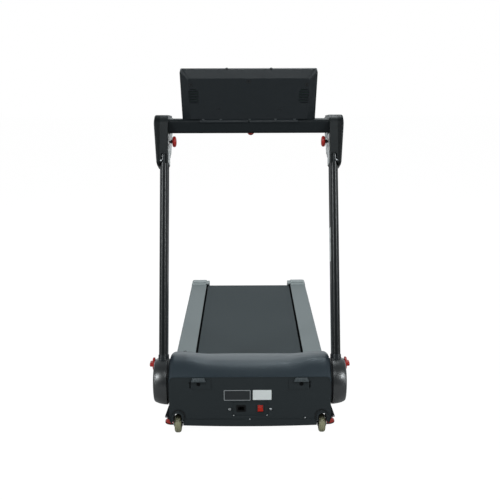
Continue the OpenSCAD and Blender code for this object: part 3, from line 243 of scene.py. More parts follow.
def moulded(name, colour, rough=0.42, shift=0.12, tone=0.10, grain=900.0, bump=0.05, dust=0.012,
            gloss=0.2, tint=(1, 1, 1), metal=0.0, coat=0.0, coat_rough=0.03):
    """A moulded plastic, rubber, painted or metal finish with its own grain, sheen and dust."""
    mat = bpy.data.materials.new(name)
    mat.use_nodes = True
    tree = mat.node_tree
    shader = tree.nodes["Principled BSDF"]
    finish = node(tree, "Group")
    finish.name = "finish"
    finish.node_tree = moulded_group
    for label, value in (("Colour", (*colour, 1)), ("Tone shift", tone), ("Grain size", grain),
                         ("Roughness", rough), ("Roughness shift", shift), ("Dust", dust)):
        finish.inputs[label].default_value = value
    relief = node(tree, "Bump", Strength=bump, Distance=0.0006)
    relief.name = "relief"
    link(tree, node(tree, "TexCoord").outputs["Object"], finish.inputs["Position"])
    link(tree, finish.outputs["Colour"], shader.inputs["Base Color"])
    link(tree, finish.outputs["Roughness"], shader.inputs["Roughness"])
    link(tree, finish.outputs["Height"], relief.inputs["Height"])
    link(tree, relief.outputs["Normal"], shader.inputs["Normal"])
    for label, value in (("Specular IOR Level", gloss), ("Specular Tint", (*tint, 1)),
                         ("Metallic", metal), ("Coat Weight", coat),
                         ("Coat Roughness", coat_rough)):
        shader.inputs[label].default_value = value
    return mat


def dress(mat, *names):
    """Gives CAD nodes their finish."""
    for name in names:
        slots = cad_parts[name].data.materials
        slots.clear()
        slots.append(mat)


frame_paint = moulded("frame_powder_coat", srgb(38, 41, 43), rough=0.45, grain=420, bump=0.12)
dress(frame_paint, "left_frame_rail", "right_frame_rail", "front_cross_member",
      "middle_cross_member", "rear_cross_member", "left_side_plate", "right_side_plate")


# Frame fastenings -----------------------------------------------------------------------
# A zinc-plated bolt through the top of each side plate, and a pan-head screw that fixes
# each side foot to its web.
def piece(name, points, faces, mat, body, sharp=32.0):
    """A closed mesh from an array of points, smooth except where it bends more sharply than
    the given angle in degrees, with its faces turned outwards; it rides a body."""
    mesh = bpy.data.meshes.new(name)
    mesh.from_pydata(np.asarray(points, float).tolist(), [], faces)
    work = bmesh.new()
    work.from_mesh(mesh)
    bmesh.ops.recalc_face_normals(work, faces=work.faces)
    work.to_mesh(mesh)
    work.free()
    mesh.shade_smooth()
    mesh.set_sharp_from_angle(angle=math.radians(sharp))
    mesh.materials.append(mat)
    obj = bpy.data.objects.new(name, mesh)
    bpy.context.scene.collection.objects.link(obj)
    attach(obj, body)
    return obj


def grid_faces(rows, cols, start=0, wrap=False):
    """Four-sided faces between neighbours of a grid of points stored row by row."""
    i = start + cols * np.arange(rows - 1)[:, None]
    j = np.arange(cols if wrap else cols - 1)
    k = (j + 1) % cols
    return np.stack([i + j, i + k, i + cols + k, i + cols + j], axis=-1).reshape(-1, 4).tolist()


def revolved(outline, steps):
    """Points and faces of a solid turned round Z: x = r cos a, y = r sin a, z = h for each
    (r, h) of the outline, which starts and ends on the axis, where it has a single point."""
    r, h = np.array(outline, float).T[:, :, None]
    a = np.arange(steps) * 2 * np.pi / steps
    grid = np.stack([r * np.cos(a), r * np.sin(a), h + 0 * a], axis=-1)[1:-1]
    points = np.vstack([(0, 0, h[0, 0]), grid.reshape(-1, 3), (0, 0, h[-1, 0])])
    last, k = len(points) - 1, np.arange(steps)
    after = (k + 1) % steps
    foot = np.column_stack([0 * k, 1 + after, 1 + k])
    head = np.column_stack([last - steps + k, last - steps + after, last + 0 * k])
    return points, foot.tolist() + grid_faces(len(grid), steps, 1, wrap=True) + head.tolist()


def turned(name, outline, steps, at, axis, mat, body, sharp=32.0):
    """A piece turned from an (r, h) outline, with h running along axis from the place at."""
    points, faces = revolved(outline, steps)
    turn = np.array(Vector(axis).to_track_quat("Z", "X").to_matrix())
    return piece(name, points @ turn.T + np.asarray(at), faces, mat, body, sharp)


def round_edge(r, h, e, steps=5):
    """The (r, h) outline of a disc with rounded upper edge: a quarter circle of radius e."""
    a = np.linspace(0, np.pi / 2, steps)
    return [(0, 0), (r, 0)] + list(zip(r - e + e * np.cos(a), h - e + e * np.sin(a))) + [(0, h)]


def screw(name, at, axis, r, mat, body):
    """A pan-head screw standing on a face: a domed head with a round driver recess."""
    h = 0.55 * r
    a = np.linspace(0.0, np.pi / 2.3, 6)
    dome = list(zip(r * (0.45 + 0.55 * np.cos(a)), h * (0.25 + 0.75 * np.sin(a))))
    recess = [(0.36 * r, dome[-1][1]), (0.30 * r, 0.25 * h), (0, 0.2 * h)]
    skirt = [(0, -0.3 * h), (r, -0.3 * h)]
    return turned(name, skirt + dome + recess, 20, at, axis, mat, body)


zinc = moulded("zinc_plate", srgb(196, 198, 200), rough=0.3, shift=0.2, gloss=0.5, metal=1.0)
dull_zinc = moulded("dull_zinc", srgb(128, 132, 134), rough=0.42, shift=0.2, gloss=0.5, metal=1.0)
dark_steel = moulded("blackened_steel", srgb(24, 25, 26), rough=0.4, gloss=0.4)
SIDES = ((-1, "left"), (1, "right"))
plate_low, plate_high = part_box("right_side_plate")
foot_low, foot_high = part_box("side_feet")
bolt_x, bolt_y, bolt_z = plate_low[0] + 0.006, -0.632, plate_high[2] - 0.011
screw_x, screw_y, screw_z = 0.2905, (foot_low[1] + foot_high[1]) / 2 - 0.010, 0.0235
for side, word in SIDES:
    screw(word + "_plate_bolt", (side * bolt_x, bolt_y, bolt_z), (0, -0.35, 1), 0.0038,
          dull_zinc, "base")
    screw(word + "_foot_screw", (side * screw_x, screw_y, screw_z), (0, -0.5, 1), 0.0042,
          zinc, "base")


# Side feet ------------------------------------------------------------------------------
# A red moulded disc pressed into a black rubber ring, one under each side plate.
def banded(mat, low_colour, height):
    """Gives a finish a second colour below a height: steps at z = height in object space."""
    tree = mat.node_tree
    finish = tree.nodes["finish"]
    split = node(tree, "SeparateXYZ")
    link(tree, node(tree, "TexCoord").outputs["Object"], split.inputs[0])
    mix = node(tree, "Mix")
    mix.data_type = "RGBA"
    mix.inputs["A"].default_value = (*low_colour, 1)
    mix.inputs["B"].default_value = finish.inputs["Colour"].default_value
    link(tree, maths(tree, "GREATER_THAN", split.outputs["Z"], height), mix.inputs["Factor"])
    link(tree, mix.outputs["Result"], finish.inputs["Colour"])
    return mat


foot_red = moulded("foot_disc_and_ring", srgb(176, 48, 40), rough=0.35, gloss=0.4)
dress(banded(foot_red, srgb(24, 24, 25), 0.004), "side_feet")


# Rear feet, deck cushions ---------------------------------------------------------------
# Moulded black rubber: pads on stems under the rails, and round buttons under the deck.
black_rubber = moulded("black_rubber", srgb(24, 25, 27), rough=0.72, grain=700, bump=0.15)
dress(black_rubber, "deck_cushions", "rear_feet")


# Deck board -----------------------------------------------------------------------------
# Fibreboard with a black low-friction laminate on top; the sawn edges are sealed dark brown.
laminate = moulded("deck_laminate", srgb(13, 14, 15), rough=0.35, gloss=0.0)
laminate_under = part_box("running_deck")[1][2] - 0.0015
dress(banded(laminate, srgb(44, 40, 36), laminate_under), "running_deck")


# Running belt ---------------------------------------------------------------------------
# Two-ply woven belt with a fine diamond tread pressed in its black PVC face.
def diamond_tread(mat, pitch, depth):
    """Adds a pressed diamond tread: height = |sin(pi u)| |sin(pi v)| with u and v the two
    diagonal coordinates (x + y) / pitch and (x - y) / pitch."""
    tree = mat.node_tree
    split = node(tree, "SeparateXYZ")
    link(tree, node(tree, "TexCoord").outputs["Object"], split.inputs[0])
    ridges = []
    for operation in ("ADD", "SUBTRACT"):
        diagonal = maths(tree, operation, split.outputs["X"], split.outputs["Y"])
        turn = maths(tree, "MULTIPLY", diagonal, math.pi / pitch)
        ridges.append(maths(tree, "ABSOLUTE", maths(tree, "SINE", turn)))
    tread = node(tree, "Bump", Strength=0.35, Distance=depth)
    link(tree, maths(tree, "MULTIPLY", *ridges), tread.inputs["Height"])
    link(tree, tree.nodes["relief"].outputs["Normal"], tread.inputs["Normal"])
    link(tree, tread.outputs["Normal"], tree.nodes["Principled BSDF"].inputs["Normal"])
    return mat


belt_face = moulded("belt_face", srgb(47, 56, 59), rough=0.6, tone=0.06, grain=600, bump=0.1,
                    dust=0.02, gloss=0.14)
dress(diamond_tread(belt_face, 0.0042, 0.0003), "running_belt")


# Rollers and shafts ---------------------------------------------------------------------
# Turned steel tubes on ground shafts; the bearings are pressed in from the ends.
turned_steel = moulded("turned_steel", srgb(120, 123, 126), rough=0.34, shift=0.25, grain=1500,
                       gloss=0.5, metal=1.0)
dress(turned_steel, "roller_shafts", "front_roller", "rear_roller")
dress(dark_steel, "roller_bearings")
dress(zinc, "pivot_bolts")


# Motor and drive ------------------------------------------------------------------------
# An enamelled motor can with cast end bells, an iron flywheel with a turned pulley, a ribbed
# belt to the front roller, and the controller on its extruded heat sink.
dress(moulded("motor_enamel", srgb(44, 47, 50), rough=0.35, gloss=0.4), "motor_body")
dress(moulded("turned_iron", srgb(120, 122, 124), rough=0.4, gloss=0.5, metal=1.0), "motor_rotor")
dress(moulded("drive_belt_rubber", srgb(22, 22, 24), rough=0.6), "drive_belt")
dress(moulded("heat_sink_extrusion", srgb(150, 154, 155), rough=0.42, gloss=0.5, metal=1.0),
      "motor_controller")


# Foot rails -----------------------------------------------------------------------------
# Extruded in grey plastic with a fine matt grain on top, clipped over the frame tubes.
rail_grey = moulded("rail_plastic", srgb(121, 129, 130), rough=0.55, tone=0.05, grain=520,
                    bump=0.22, dust=0.03, gloss=0.3)
dress(rail_grey, "left_foot_rail", "right_foot_rail")


# End caps -------------------------------------------------------------------------------
# Moulded in the rails' grey, pushed on their rear ends; the belt's adjusting screws are
# reached through the round holes.
cap_grey = moulded("cap_plastic", srgb(150, 158, 158), rough=0.42, tone=0.05, grain=700, bump=0.1,
                   gloss=0.35)
dress(cap_grey, "end_caps")


# Rail shade strips and cap lips ---------------------------------------------------------
# Black strips line the rails beside the belt and fill the gap at the roller. They are painted shade
# that darkens the gap between belt and rail. Grey lips, part of the caps, slope from the rails up
# to the raised rear ends. A round black rubber plug sits on the left rail.
def lofted(rings):
    """The closed solid through rings with the same number of points, flat at both ends."""
    n, count = len(rings[0]), len(rings)
    caps = [list(range(n)), list(range((count - 1) * n, count * n))]
    return np.concatenate(rings), caps + grid_faces(count, n, wrap=True)


def carried(outline, x0, x1, back_0=0.0, back_1=0.0):
    """A solid from an outline in Y and Z carried along X from x0 to x1; back_0 and back_1 say
    how far each end stands back from there, at every point or point by point."""
    way = math.copysign(1, x1 - x0)
    outline = np.asarray(outline, float)
    x = np.zeros(len(outline))
    return lofted([np.column_stack([x + x0 + way * np.asarray(back_0), outline]),
                   np.column_stack([x + x1 - way * np.asarray(back_1), outline])])


# Black strips that paint the shade in the gap beside the belt and at the roller.
gap_shade_black = moulded("gap_shade_black", srgb(17, 19, 20), rough=0.9, grain=700, bump=0.15, gloss=0.0)
rail_low, rail_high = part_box("right_foot_rail")
rail_front, rail_rear = rail_low[1] + 0.004, rail_high[1] - 0.002
felt, belt_side, gap_front = 0.0012, 0.1965, 0.600
strip = [(rail_front, 0.130), (rail_rear, 0.130), (rail_rear, 0.1632), (rail_front, 0.1632)]
stop = [(gap_front, 0.150), (rail_rear, 0.150), (rail_rear, 0.1590), (gap_front, 0.1535)]
lip = [(rail_high[1] + 0.003, 0.1642), (rail_high[1] - 0.006, 0.1642),
       (rail_high[1] - 0.0055, 0.1652), (rail_high[1] - 0.001, 0.1712),
       (rail_high[1] + 0.003, 0.1752)]
lip_back = (0, 0, 0.0010, 0.0045, 0.0105)
for side, word in SIDES:
    inner = side * rail_low[0]
    points, faces = carried(strip, inner, inner - side * felt)
    piece(word + "_rail_shade_strip", points, faces, gap_shade_black, "base")
    points, faces = carried(stop, inner - side * felt, side * belt_side)
    piece(word + "_gap_shade_stop", points, faces, gap_shade_black, "base")
    points, faces = carried(lip, side * (rail_low[0] + 0.002), side * (rail_high[0] - 0.0008),
                            back_1=lip_back)
    piece(word + "_cap_lip", points, faces, cap_grey, "base")
turned("rail_plug", round_edge(0.0075, 0.0010, 0.0006), 28, (-0.2435, -0.328, rail_high[2]),
       (0, 0, 1), black_rubber, "base")


# Motor hood -----------------------------------------------------------------------------
# A vacuum-formed cover in satin dark grey, arched from the crease over the motor down to
# the belt, with a skirt at each side and a low wing over the front of each foot rail.
def bezier(p, t):
    """The cubic curve through four control points, or one for each column of points: the sum
    of binomial terms in t."""
    p = np.asarray(p, float)
    t = np.reshape(t, (-1,) + (1,) * (p.ndim - 1))
    return ((1 - t) ** 3 * p[0] + 3 * t * (1 - t) ** 2 * p[1] + 3 * t ** 2 * (1 - t) * p[2]
            + t ** 3 * p[3])


def smooth_step(u):
    """3 u^2 - 2 u^3, with u held between 0 and 1."""
    u = np.clip(u, 0, 1)
    return u * u * (3 - 2 * u)


def hood_points():
    """Outer and inner skins as (row, column) grids. Down the length the top follows a cubic
    curve, which runs further back over the rails (weight w), sinks by up to sag in the middle
    (weight m) and is fuller in front towards the ends (weight e, growing with x squared).
    Across, a column is an edge centre c plus r (cos a, sin a) at the long edges, and flat
    between them. The sides hang to a hem, which is cut out over the side plates and their
    bolts and rests on the rails; a row stands on each side of every step in it."""
    low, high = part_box("hood_cover")
    front, crease = low[1], 0.211
    half, skirt = high[0], low[2]
    edge, wall, wing, sag = 0.016, 0.003, 0.034, 0.0060
    rear, rear_top, wing_lift = high[1] - wing, 0.166, 0.003
    rise_1, rise_2 = np.array([0.085, 0.066]), np.array([0.130, 0.054])
    full_1, full_2 = np.array([-0.008, 0.009]), np.array([-0.024, 0.001])
    sag_edge, sag_fade, sag_rise, sag_fall = 0.208, 0.075, 0.42, 0.4
    full_at, full_most, wing_edge, wing_fade = 0.19, 1.3, rail_low[0] - 0.010, 0.024
    side_plate, plate_bolt = (-0.664, -0.584, 0.130), (-0.652, -0.626, 0.181)
    rail_start, plate_top = rail_low[1] - 0.002, rail_high[2] + 0.0002
    a = np.radians(np.linspace(0, 90, 9))
    flat = np.linspace(edge - half, half - edge, 101)[1:-1]
    centre = np.concatenate([np.full(9, edge - half), flat, np.full(9, half - edge)])
    out_x = np.concatenate([-np.cos(a), 0 * flat, np.cos(a[::-1])])
    out_z = np.concatenate([np.sin(a), 0 * flat + 1, np.sin(a[::-1])])
    w = smooth_step((np.abs(centre + edge * out_x) - wing_edge) / wing_fade)
    m = smooth_step((sag_edge - np.abs(centre)) / sag_fade)
    e = np.minimum((centre / full_at) ** 2, full_most)[:, None]
    fine, gap = np.linspace(0, 1, 600), 1e-4
    start = np.array([front, crease])
    side = bezier([start, start + rise_1, start + rise_2, (rear + wing, rear_top + wing_lift)],
                  fine)
    steps = [front + 0.025, *side_plate[:2], *plate_bolt[:2], rail_start]
    cuts = np.interp(steps, side[:, 0], fine)
    t = np.sort(np.concatenate([np.linspace(0, 1, 61), cuts - gap, cuts + gap]))
    dip = sag * smooth_step(t / sag_rise) * smooth_step((1 - t) / sag_fall)
    end = np.column_stack([rear + w * wing, rear_top + w * wing_lift])
    first, second = start + rise_1 + e * full_1, start + rise_2 + e * full_2
    line = bezier([start + 0 * end, first, second, end], t)
    skins = []
    for d in (0.0, wall):
        top = line[..., 1] - dip[:, None] * m - edge + (edge - d) * out_z
        skin = np.stack([centre + (edge - d) * out_x + 0 * top, line[..., 0], top], axis=-1)
        skin = skin[:, [0, *range(len(centre)), -1]]
        y = skin[:, 0, 1]
        hem = np.full(len(t), skirt)
        hem[y < steps[0]] = crease - edge - wall
        for y0, y1, height in (side_plate, plate_bolt):
            hem[(y > y0) & (y < y1)] = height
        hem[y > rail_start] = plate_top
        for j in (0, -1):
            skin[:, j, 2] = np.minimum(hem, skin[:, j, 2] - 0.0005)
        skins.append(skin)
    return skins


def shell_faces(rows, cols):
    """The faces of two skins stored one after the other, and the rims that join them."""
    grid = np.arange(rows * cols).reshape(rows, cols)
    faces = grid_faces(rows, cols) + grid_faces(rows, cols, rows * cols)
    for rim in (grid[:, 0], grid[:, -1], grid[0], grid[-1]):
        a, b = rim[:-1], rim[1:]
        faces += np.column_stack([a, b, b + rows * cols, a + rows * cols]).tolist()
    return faces


hood_satin = moulded("hood_satin", srgb(39, 47, 53), rough=0.40, shift=0.04, tone=0.04,
                     grain=1400, bump=0.01, dust=0.002, gloss=0.56, tint=(0.8, 0.93, 1))
outer, inner = hood_points()
hood = piece("motor_hood", np.concatenate([outer.reshape(-1, 3), inner.reshape(-1, 3)]),
             shell_faces(*outer.shape[:2]), hood_satin, "base")
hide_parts("hood_cover")


# Front panel ----------------------------------------------------------------------------
# Injection moulded in black with a fine spark grain, screwed to the frame behind the hood's
# crease; it closes the motor bay down to the wheels.
panel_black = moulded("panel_plastic", srgb(43, 48, 50), rough=0.42, tone=0.08, grain=1100,
                      bump=0.08, gloss=0.18)
panel_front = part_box("front_panel")[0][1]
dress(panel_black, "front_panel", "motor_pan")


# Pocket visors --------------------------------------------------------------------------
# Two small ribbed ledges moulded on the panel above its screw pockets; their grey is a painted
# highlight for the light that their sloping tops catch. Below each is an insert with upright blades
# and a round screw hole, whose black is painted shade.
def on_panel(name, outline, x0, x1, mat, slope=0.0):
    """A piece from an outline of (height above the panel's face, z) carried along X; slope is
    how far both ends stand back, at every point or point by point."""
    points, faces = carried([(panel_front - d, z) for d, z in outline], x0, x1, slope, slope)
    piece(name, points, faces, mat, "base")


# Painted shade: a near-black cup that stands for the dark screw hole.
hole_shade_black = moulded("hole_shade", srgb(9, 10, 11), rough=0.7, gloss=0.1)
# Painted highlight: the visors and ribs are lighter grey than the black panel they are moulded on.
ledge_highlight_grey = moulded("ledge_painted_highlight", srgb(70, 77, 80), rough=0.35, gloss=0.5)
root, thin = -0.001, 0.0007
insert = [(-0.009, 0.1655), (0.0004, 0.1655), (0.0004, 0.2000), (-0.009, 0.2000)]
blade = [(root, 0.1800), (0.0010, 0.1815), (0.0016, 0.1938), (root, 0.1938)]
visor = [(root, 0.1935), (0.0065, 0.1935), (0.0065, 0.1955), (0.001, 0.2060), (root, 0.2060)]
rib = [(root, 0.1955), (0.0074, 0.1955), (0.0074, 0.1970), (0.0020, 0.2050), (root, 0.2050)]
hole = [(0, 0), (0.0066, 0), (0.0066, 0.0012), (0.0060, 0.0018), (0.0050, 0.0018),
        (0.0046, 0.0006), (0, 0.0006)]
for side, word in SIDES:
    mid = side * 0.173
    on_panel(word + "_pocket_insert", insert, *sorted((side * 0.1315, side * 0.199)), panel_black)
    for k in (0, 1, 2, 3, 7, 8, 9, 10):
        x = mid + (k - 5) * 0.0046
        on_panel(f"{word}_pocket_blade_{k + 1}", blade, x - thin, x + thin, panel_black)
    turned(word + "_pocket_hole", hole, 28, (mid, panel_front - 0.0002, 0.1845), (0, -1, 0),
           hole_shade_black, "base")
    on_panel(word + "_pocket_visor", visor, mid - 0.0245, mid + 0.0245, ledge_highlight_grey,
             (0, 0, 0, 0.005, 0.005))
    for k in range(5):
        x = mid + (k - 2) * 0.0075
        on_panel(f"{word}_visor_rib_{k + 1}", rib, x - thin, x + thin, ledge_highlight_grey)


# Panel fastenings -----------------------------------------------------------------------
# Zinc-plated screws: two hold the inlet plate, four small ones the panel's lower edge.
for k, (x, z, r) in enumerate(((-0.068, 0.094, 0.0045), (0.070, 0.094, 0.0045),
                               (0.0, 0.058, 0.003), (0.186, 0.063, 0.003),
                               (-0.055, 0.072, 0.0024), (0.058, 0.072, 0.0024))):
    screw(f"panel_screw_{k + 1}", (x, panel_front + 0.0002, z), (0, -1, 0), r, zinc, "base")


# Rating plates --------------------------------------------------------------------------
# Two bare stuck-on plates: black foil with a silver rim, and a white one; nothing is printed.
def rounded(w, h, r, n=6):
    """A centred rectangle with round corners as an (x, z) outline, anticlockwise: about each
    corner centre (w / 2 - r, h / 2 - r) a quarter circle of radius r."""
    a = np.linspace(0, np.pi / 2, n) + np.arange(4)[:, None] * np.pi / 2
    corner = np.array([(1, 1), (-1, 1), (-1, -1), (1, -1)]) * (w / 2 - r, h / 2 - r)
    return (corner[:, None] + r * np.stack([np.cos(a), np.sin(a)], axis=-1)).reshape(-1, 2)


def slab(outline, y0, y1):
    """A flat solid from an (x, z) outline between two depths y0 and y1."""
    return lofted([np.insert(outline, 1, y, axis=1) for y in (y0, y1)])


def plate(name, centre, w, h, r, t, mat):
    """A thin plate with round corners, stuck to the panel and standing t proud of it."""
    points, faces = slab(rounded(w, h, r), panel_front - t, panel_front + 0.0004)
    piece(name, points + np.array([centre[0], 0, centre[1]]), faces, mat, "base")


silver_foil = moulded("silver_foil", srgb(178, 182, 184), rough=0.35, gloss=0.5, metal=0.7)
black_foil = moulded("black_foil", srgb(38, 41, 43), rough=0.3, gloss=0.4)
white_foil = moulded("white_foil", srgb(222, 226, 224), rough=0.45, gloss=0.4, tone=0.03)
plate("rating_plate_rim", (-0.043, 0.144), 0.090, 0.037, 0.003, 0.0005, silver_foil)
plate("rating_plate_face", (-0.043, 0.144), 0.0855, 0.0325, 0.002, 0.0008, black_foil)
plate("serial_plate", (0.041, 0.145), 0.063, 0.035, 0.002, 0.0005, white_foil)


# Mains inlet and switch -----------------------------------------------------------------
# A black inlet socket and a lit red rocker, both snapped in a plate behind the panel.
dress(panel_black, "inlet_plate")
dress(moulded("socket_plastic", srgb(16, 17, 18), rough=0.4), "power_inlet")
dress(moulded("rocker_plastic", srgb(172, 34, 20), rough=0.25, gloss=0.5, coat=0.3), "power_rocker")


# Transport wheels -----------------------------------------------------------------------
# Cast beige urethane wheels with crowned treads, turning on riveted axles in pressed forks.
dress(moulded("wheel_urethane", srgb(142, 141, 112), rough=0.38, shift=0.2, tone=0.18,
              grain=260, bump=0.1, dust=0.05, gloss=0.5), "left_wheel", "right_wheel")
dress(frame_paint, "wheel_forks")
wheel_low, wheel_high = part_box("right_wheel")
wheel_x, wheel_y, wheel_z = ((a + b) / 2 for a, b in zip(wheel_low, wheel_high))
rivet = round_edge(0.0055, 0.0022, 0.0015)
for side, word in SIDES:
    for end, x, way in (("outer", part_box("wheel_forks")[1][0] - 0.0006, side),
                        ("inner", wheel_low[0] - 0.0024, -side)):
        turned(f"{word}_{end}_rivet", rivet, 20, (side * x, wheel_y, wheel_z), (way, 0, 0),
               zinc, "base")


# Wheel wells ----------------------------------------------------------------------------
# Moulded black: a raised bead round each arch of the panel, with a thin black ring above and inside
# it that is painted shadow under the bead's edge. Behind it is a short tunnel with an end wall that
# closes the space over the wheel but for its outer side.
def arch_band(x, z, reach, wall, y0, y1, start, end):
    """A curved wall of a thickness: points (x + r cos a, y, z + r sin a) for the radii reach and
    reach + wall, the two depths y0 and y1, and the angles from start to end in degrees."""
    a = np.radians(np.linspace(start, end, 33))[:, None]
    r = np.array([reach, reach + wall, reach + wall, reach])
    y = np.array([y0, y0, y1, y1])
    return lofted(np.stack([x + r * np.cos(a), y + 0 * a, z + r * np.sin(a)], axis=-1))


well_and_shadow_black = moulded("well_plastic_and_shadow", srgb(15, 17, 18), rough=0.32, grain=900, bump=0.04, gloss=0.4)
arch_z, sweep, tunnel = 0.064, (-40, 220), 0.074
end_wall = np.array([(-0.0085, 0.040), (0.0135, 0.040), (0.0135, 0.074), (0.0090, 0.080),
                     (0.0, 0.0825), (-0.0085, 0.080)])
for side, word in SIDES:
    x = side * wheel_x
    points, faces = arch_band(x, arch_z, 0.0157, 0.0052, panel_front - 0.0030,
                              panel_front + 0.001, *sweep)
    piece(word + "_arch_bead", points, faces, panel_black, "base")
    # A thin black ring, set up and inwards of the bead, is painted shadow under its edge.
    points, faces = arch_band(x - side * 0.003, arch_z + 0.006, 0.0195, 0.0028,
                              panel_front - 0.0008, panel_front + 0.001, *sweep)
    piece(word + "_arch_shadow_ring", points, faces, well_and_shadow_black, "base")
    inner_arc = (28, 202) if side > 0 else (-22, 152)
    points, faces = arch_band(x, arch_z + 0.0035, 0.0128, 0.0022, panel_front + 0.001,
                              panel_front + tunnel, *inner_arc)
    piece(word + "_wheel_well", points, faces, well_and_shadow_black, "base")
    points, faces = slab(end_wall * (-side, 1) + (x, 0), panel_front + 0.068, panel_front + 0.070)
    piece(word + "_well_end", points, faces, well_and_shadow_black, "base")


# Uprights -------------------------------------------------------------------------------
# Flat-oval steel tubes, black satin powder coat, folding on the bolts in the side plates.
upright_paint = moulded("upright_paint", srgb(22, 25, 26), rough=0.29, shift=0.01, tone=0.03,
                        grain=700, bump=0.0, gloss=0.32)
dress(upright_paint, "left_upright", "right_upright")


# Upright plate --------------------------------------------------------------------------
# A bare pale foil stuck to the inner face of the right-hand upright, halfway up.
lean = math.radians(17.9)
pivot = np.array([0.0, -0.639, 0.168])
up_axis = np.array([0.0, math.sin(lean), math.cos(lean)])
fore_axis = np.array([0.0, -math.cos(lean), math.sin(lean)])
tube_in, tube_out = (corner[0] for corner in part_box("right_upright"))


def on_upright(x, fore, up):
    """The place, or places, x across, fore towards the motor end and up the tube from its
    pivot: pivot + x X + fore F + up U."""
    x, fore, up = (v[..., None] for v in np.broadcast_arrays(x, fore, up))
    return x * np.array([1, 0, 0]) + pivot + fore * fore_axis + up * up_axis


foil = rounded(0.046, 0.118, 0.002)
points, faces = lofted([on_upright(tube_in - t, foil[:, 0], 0.468 + foil[:, 1])
                        for t in (-0.0002, 0.0005)])
piece("upright_foil", points, faces, white_foil, "uprights")


# Pivot covers ---------------------------------------------------------------------------
# Drum-shaped satin black mouldings that clip over the fold pivots; the tubes come out of
# their tops through glossy collars.
def smooth_line(*spans):
    """An (r, h) outline of cubic spans, each with its own number of steps."""
    out = []
    for count, p in spans:
        out += bezier(p, np.linspace(0, 1, count + 1))[(1 if out else 0):].tolist()
    return out


cover_satin = moulded("cover_satin", srgb(12, 16, 18), rough=0.34, shift=0.03, tone=0.05,
                      grain=1200, bump=0.0, dust=0.002, gloss=1.0, coat=0.5, coat_rough=0.34)
cover_low, cover_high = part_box("right_pivot_cover")
r, h = 0.0825, cover_high[0] - cover_low[0]
drum = [(0, 0)] + smooth_line(
    (16, [(r, 0), (r - 0.0002, h * 0.30), (r - 0.0035, h * 0.60), (r - 0.0078, h - 0.0115)]),
    (10, [(r - 0.0078, h - 0.0115), (r - 0.0095, h - 0.0075), (r - 0.011, h - 0.0050),
          (r - 0.015, h - 0.0038)]),
    (14, [(r - 0.015, h - 0.0038), (r - 0.033, h - 0.001), (r * 0.3, h), (0, h)]))
for side, word in SIDES:
    cover = turned(word + "_pivot_drum", drum, 96, on_upright(side * cover_low[0], 0, 0),
                   (side, 0, 0), cover_satin, "uprights", sharp=50)
    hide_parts(word + "_pivot_cover")
collar_gloss = moulded("collar_gloss", srgb(36, 40, 42), rough=0.26, shift=0.02, bump=0.0,
                       gloss=0.5)
dress(collar_gloss, "upright_collars")


# Lower clamp knobs ----------------------------------------------------------------------
# Red mouldings on threaded studs: a round flange with a cross bar to turn it by.
knob_red = moulded("knob_plastic", srgb(184, 40, 33), rough=0.34, shift=0.08, gloss=0.45)
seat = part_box("right_lower_knob")[1][0] - 0.017
clamp_reach, stud_end, stud_r = 0.057, 0.277, 0.004
stud_length = seat - 0.2768
low_stud = [(0, 0), (stud_r, 0), (stud_r, stud_length), (0, stud_length)]
for side, word in SIDES:
    at = on_upright(side * seat, 0, clamp_reach)
    flange = turned(word + "_lower_knob_flange", round_edge(0.022, 0.0072, 0.0035, 7), 40, at,
                    (side, 0, 0), knob_red, word + "_low_clamp")
    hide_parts(word + "_lower_knob")
    rows = []
    for depth, inset in ((0.005, 0.0), (0.0135, 0.0), (0.0158, 0.0009), (0.017, 0.0032)):
        ring = rounded(0.034 - 2 * inset, 0.014 - 2 * inset, max(0.0065 - inset, 0.003))
        rows.append(np.insert(ring + at[1:], 0, side * (seat + depth), axis=1))
    points, faces = lofted(rows)
    piece(word + "_lower_knob_bar", points, faces, knob_red, word + "_low_clamp")
    turned(word + "_lower_stud", low_stud, 24, on_upright(side * stud_end, 0, clamp_reach),
           (side, 0, 0), dark_steel, word + "_low_clamp")


# Brackets -------------------------------------------------------------------------------
# Black moulded castings that clasp the tubes and carry the crossbar and the hand grips.
# Each has a pale liner inside, and a glossy sleeve with a silver set screw round the tube.
bracket_black = moulded("bracket_plastic", srgb(28, 32, 33), rough=0.4, grain=900, bump=0.07,
                        gloss=0.25)
dress(bracket_black, "left_bracket", "right_bracket")
dress(moulded("liner_plastic", srgb(232, 234, 233), rough=0.42, tone=0.04, gloss=0.35),
      "bracket_liners")
tube_mid = (tube_in + tube_out) / 2
tube_half = tube_out - tube_mid
sleeve = rounded(2 * tube_half + 0.0012, 0.0812, tube_half + 0.0005)
for side, word in SIDES:
    points, faces = lofted([on_upright(side * tube_mid + sleeve[:, 0], sleeve[:, 1], up)
                            for up in (0.752, 0.796)])
    piece(word + "_tube_sleeve", points, faces, collar_gloss, "uprights")
    screw(word + "_strap_screw", on_upright(side * (tube_mid + 0.0085), 0.0436, 0.760), fore_axis,
          0.0036, zinc, "uprights")


# Bracket covers -------------------------------------------------------------------------
# Satin shells over the outer side of each bracket: round at the crown, narrower below, with
# a well-rounded edge and a slightly domed face.
bar_up, shell_foot = 0.892, 0.750
crown_height, foot_height, edge = 0.023, 0.012, 0.007


def cover_ring(d, rise):
    """A ring of the shell. Its outline is the hull of a crown disc and two lower discs drawn
    in by d: along each direction n it is the point max(c . n + r). The face's height falls
    evenly from the crown to the foot; rise is this ring's height below it, or None at the
    seat, where the height is 0."""
    a = np.linspace(0, 2 * np.pi, 120, endpoint=False)
    n = np.column_stack([np.cos(a), np.sin(a)])
    discs = np.array([(0.0, bar_up, 0.038), (-0.030, 0.756, 0.014), (0.030, 0.756, 0.014)])
    reach = discs[:, :2] @ n.T + discs[:, 2:3]
    best = reach.argmax(0)
    place = discs[best, :2] + (discs[best, 2:3] - d) * n
    share = np.clip((place[:, 1] - shell_foot) / (bar_up - shell_foot), 0, 1)
    height = foot_height + (crown_height - foot_height) * share
    return np.column_stack([0 * a if rise is None else height - rise, place])


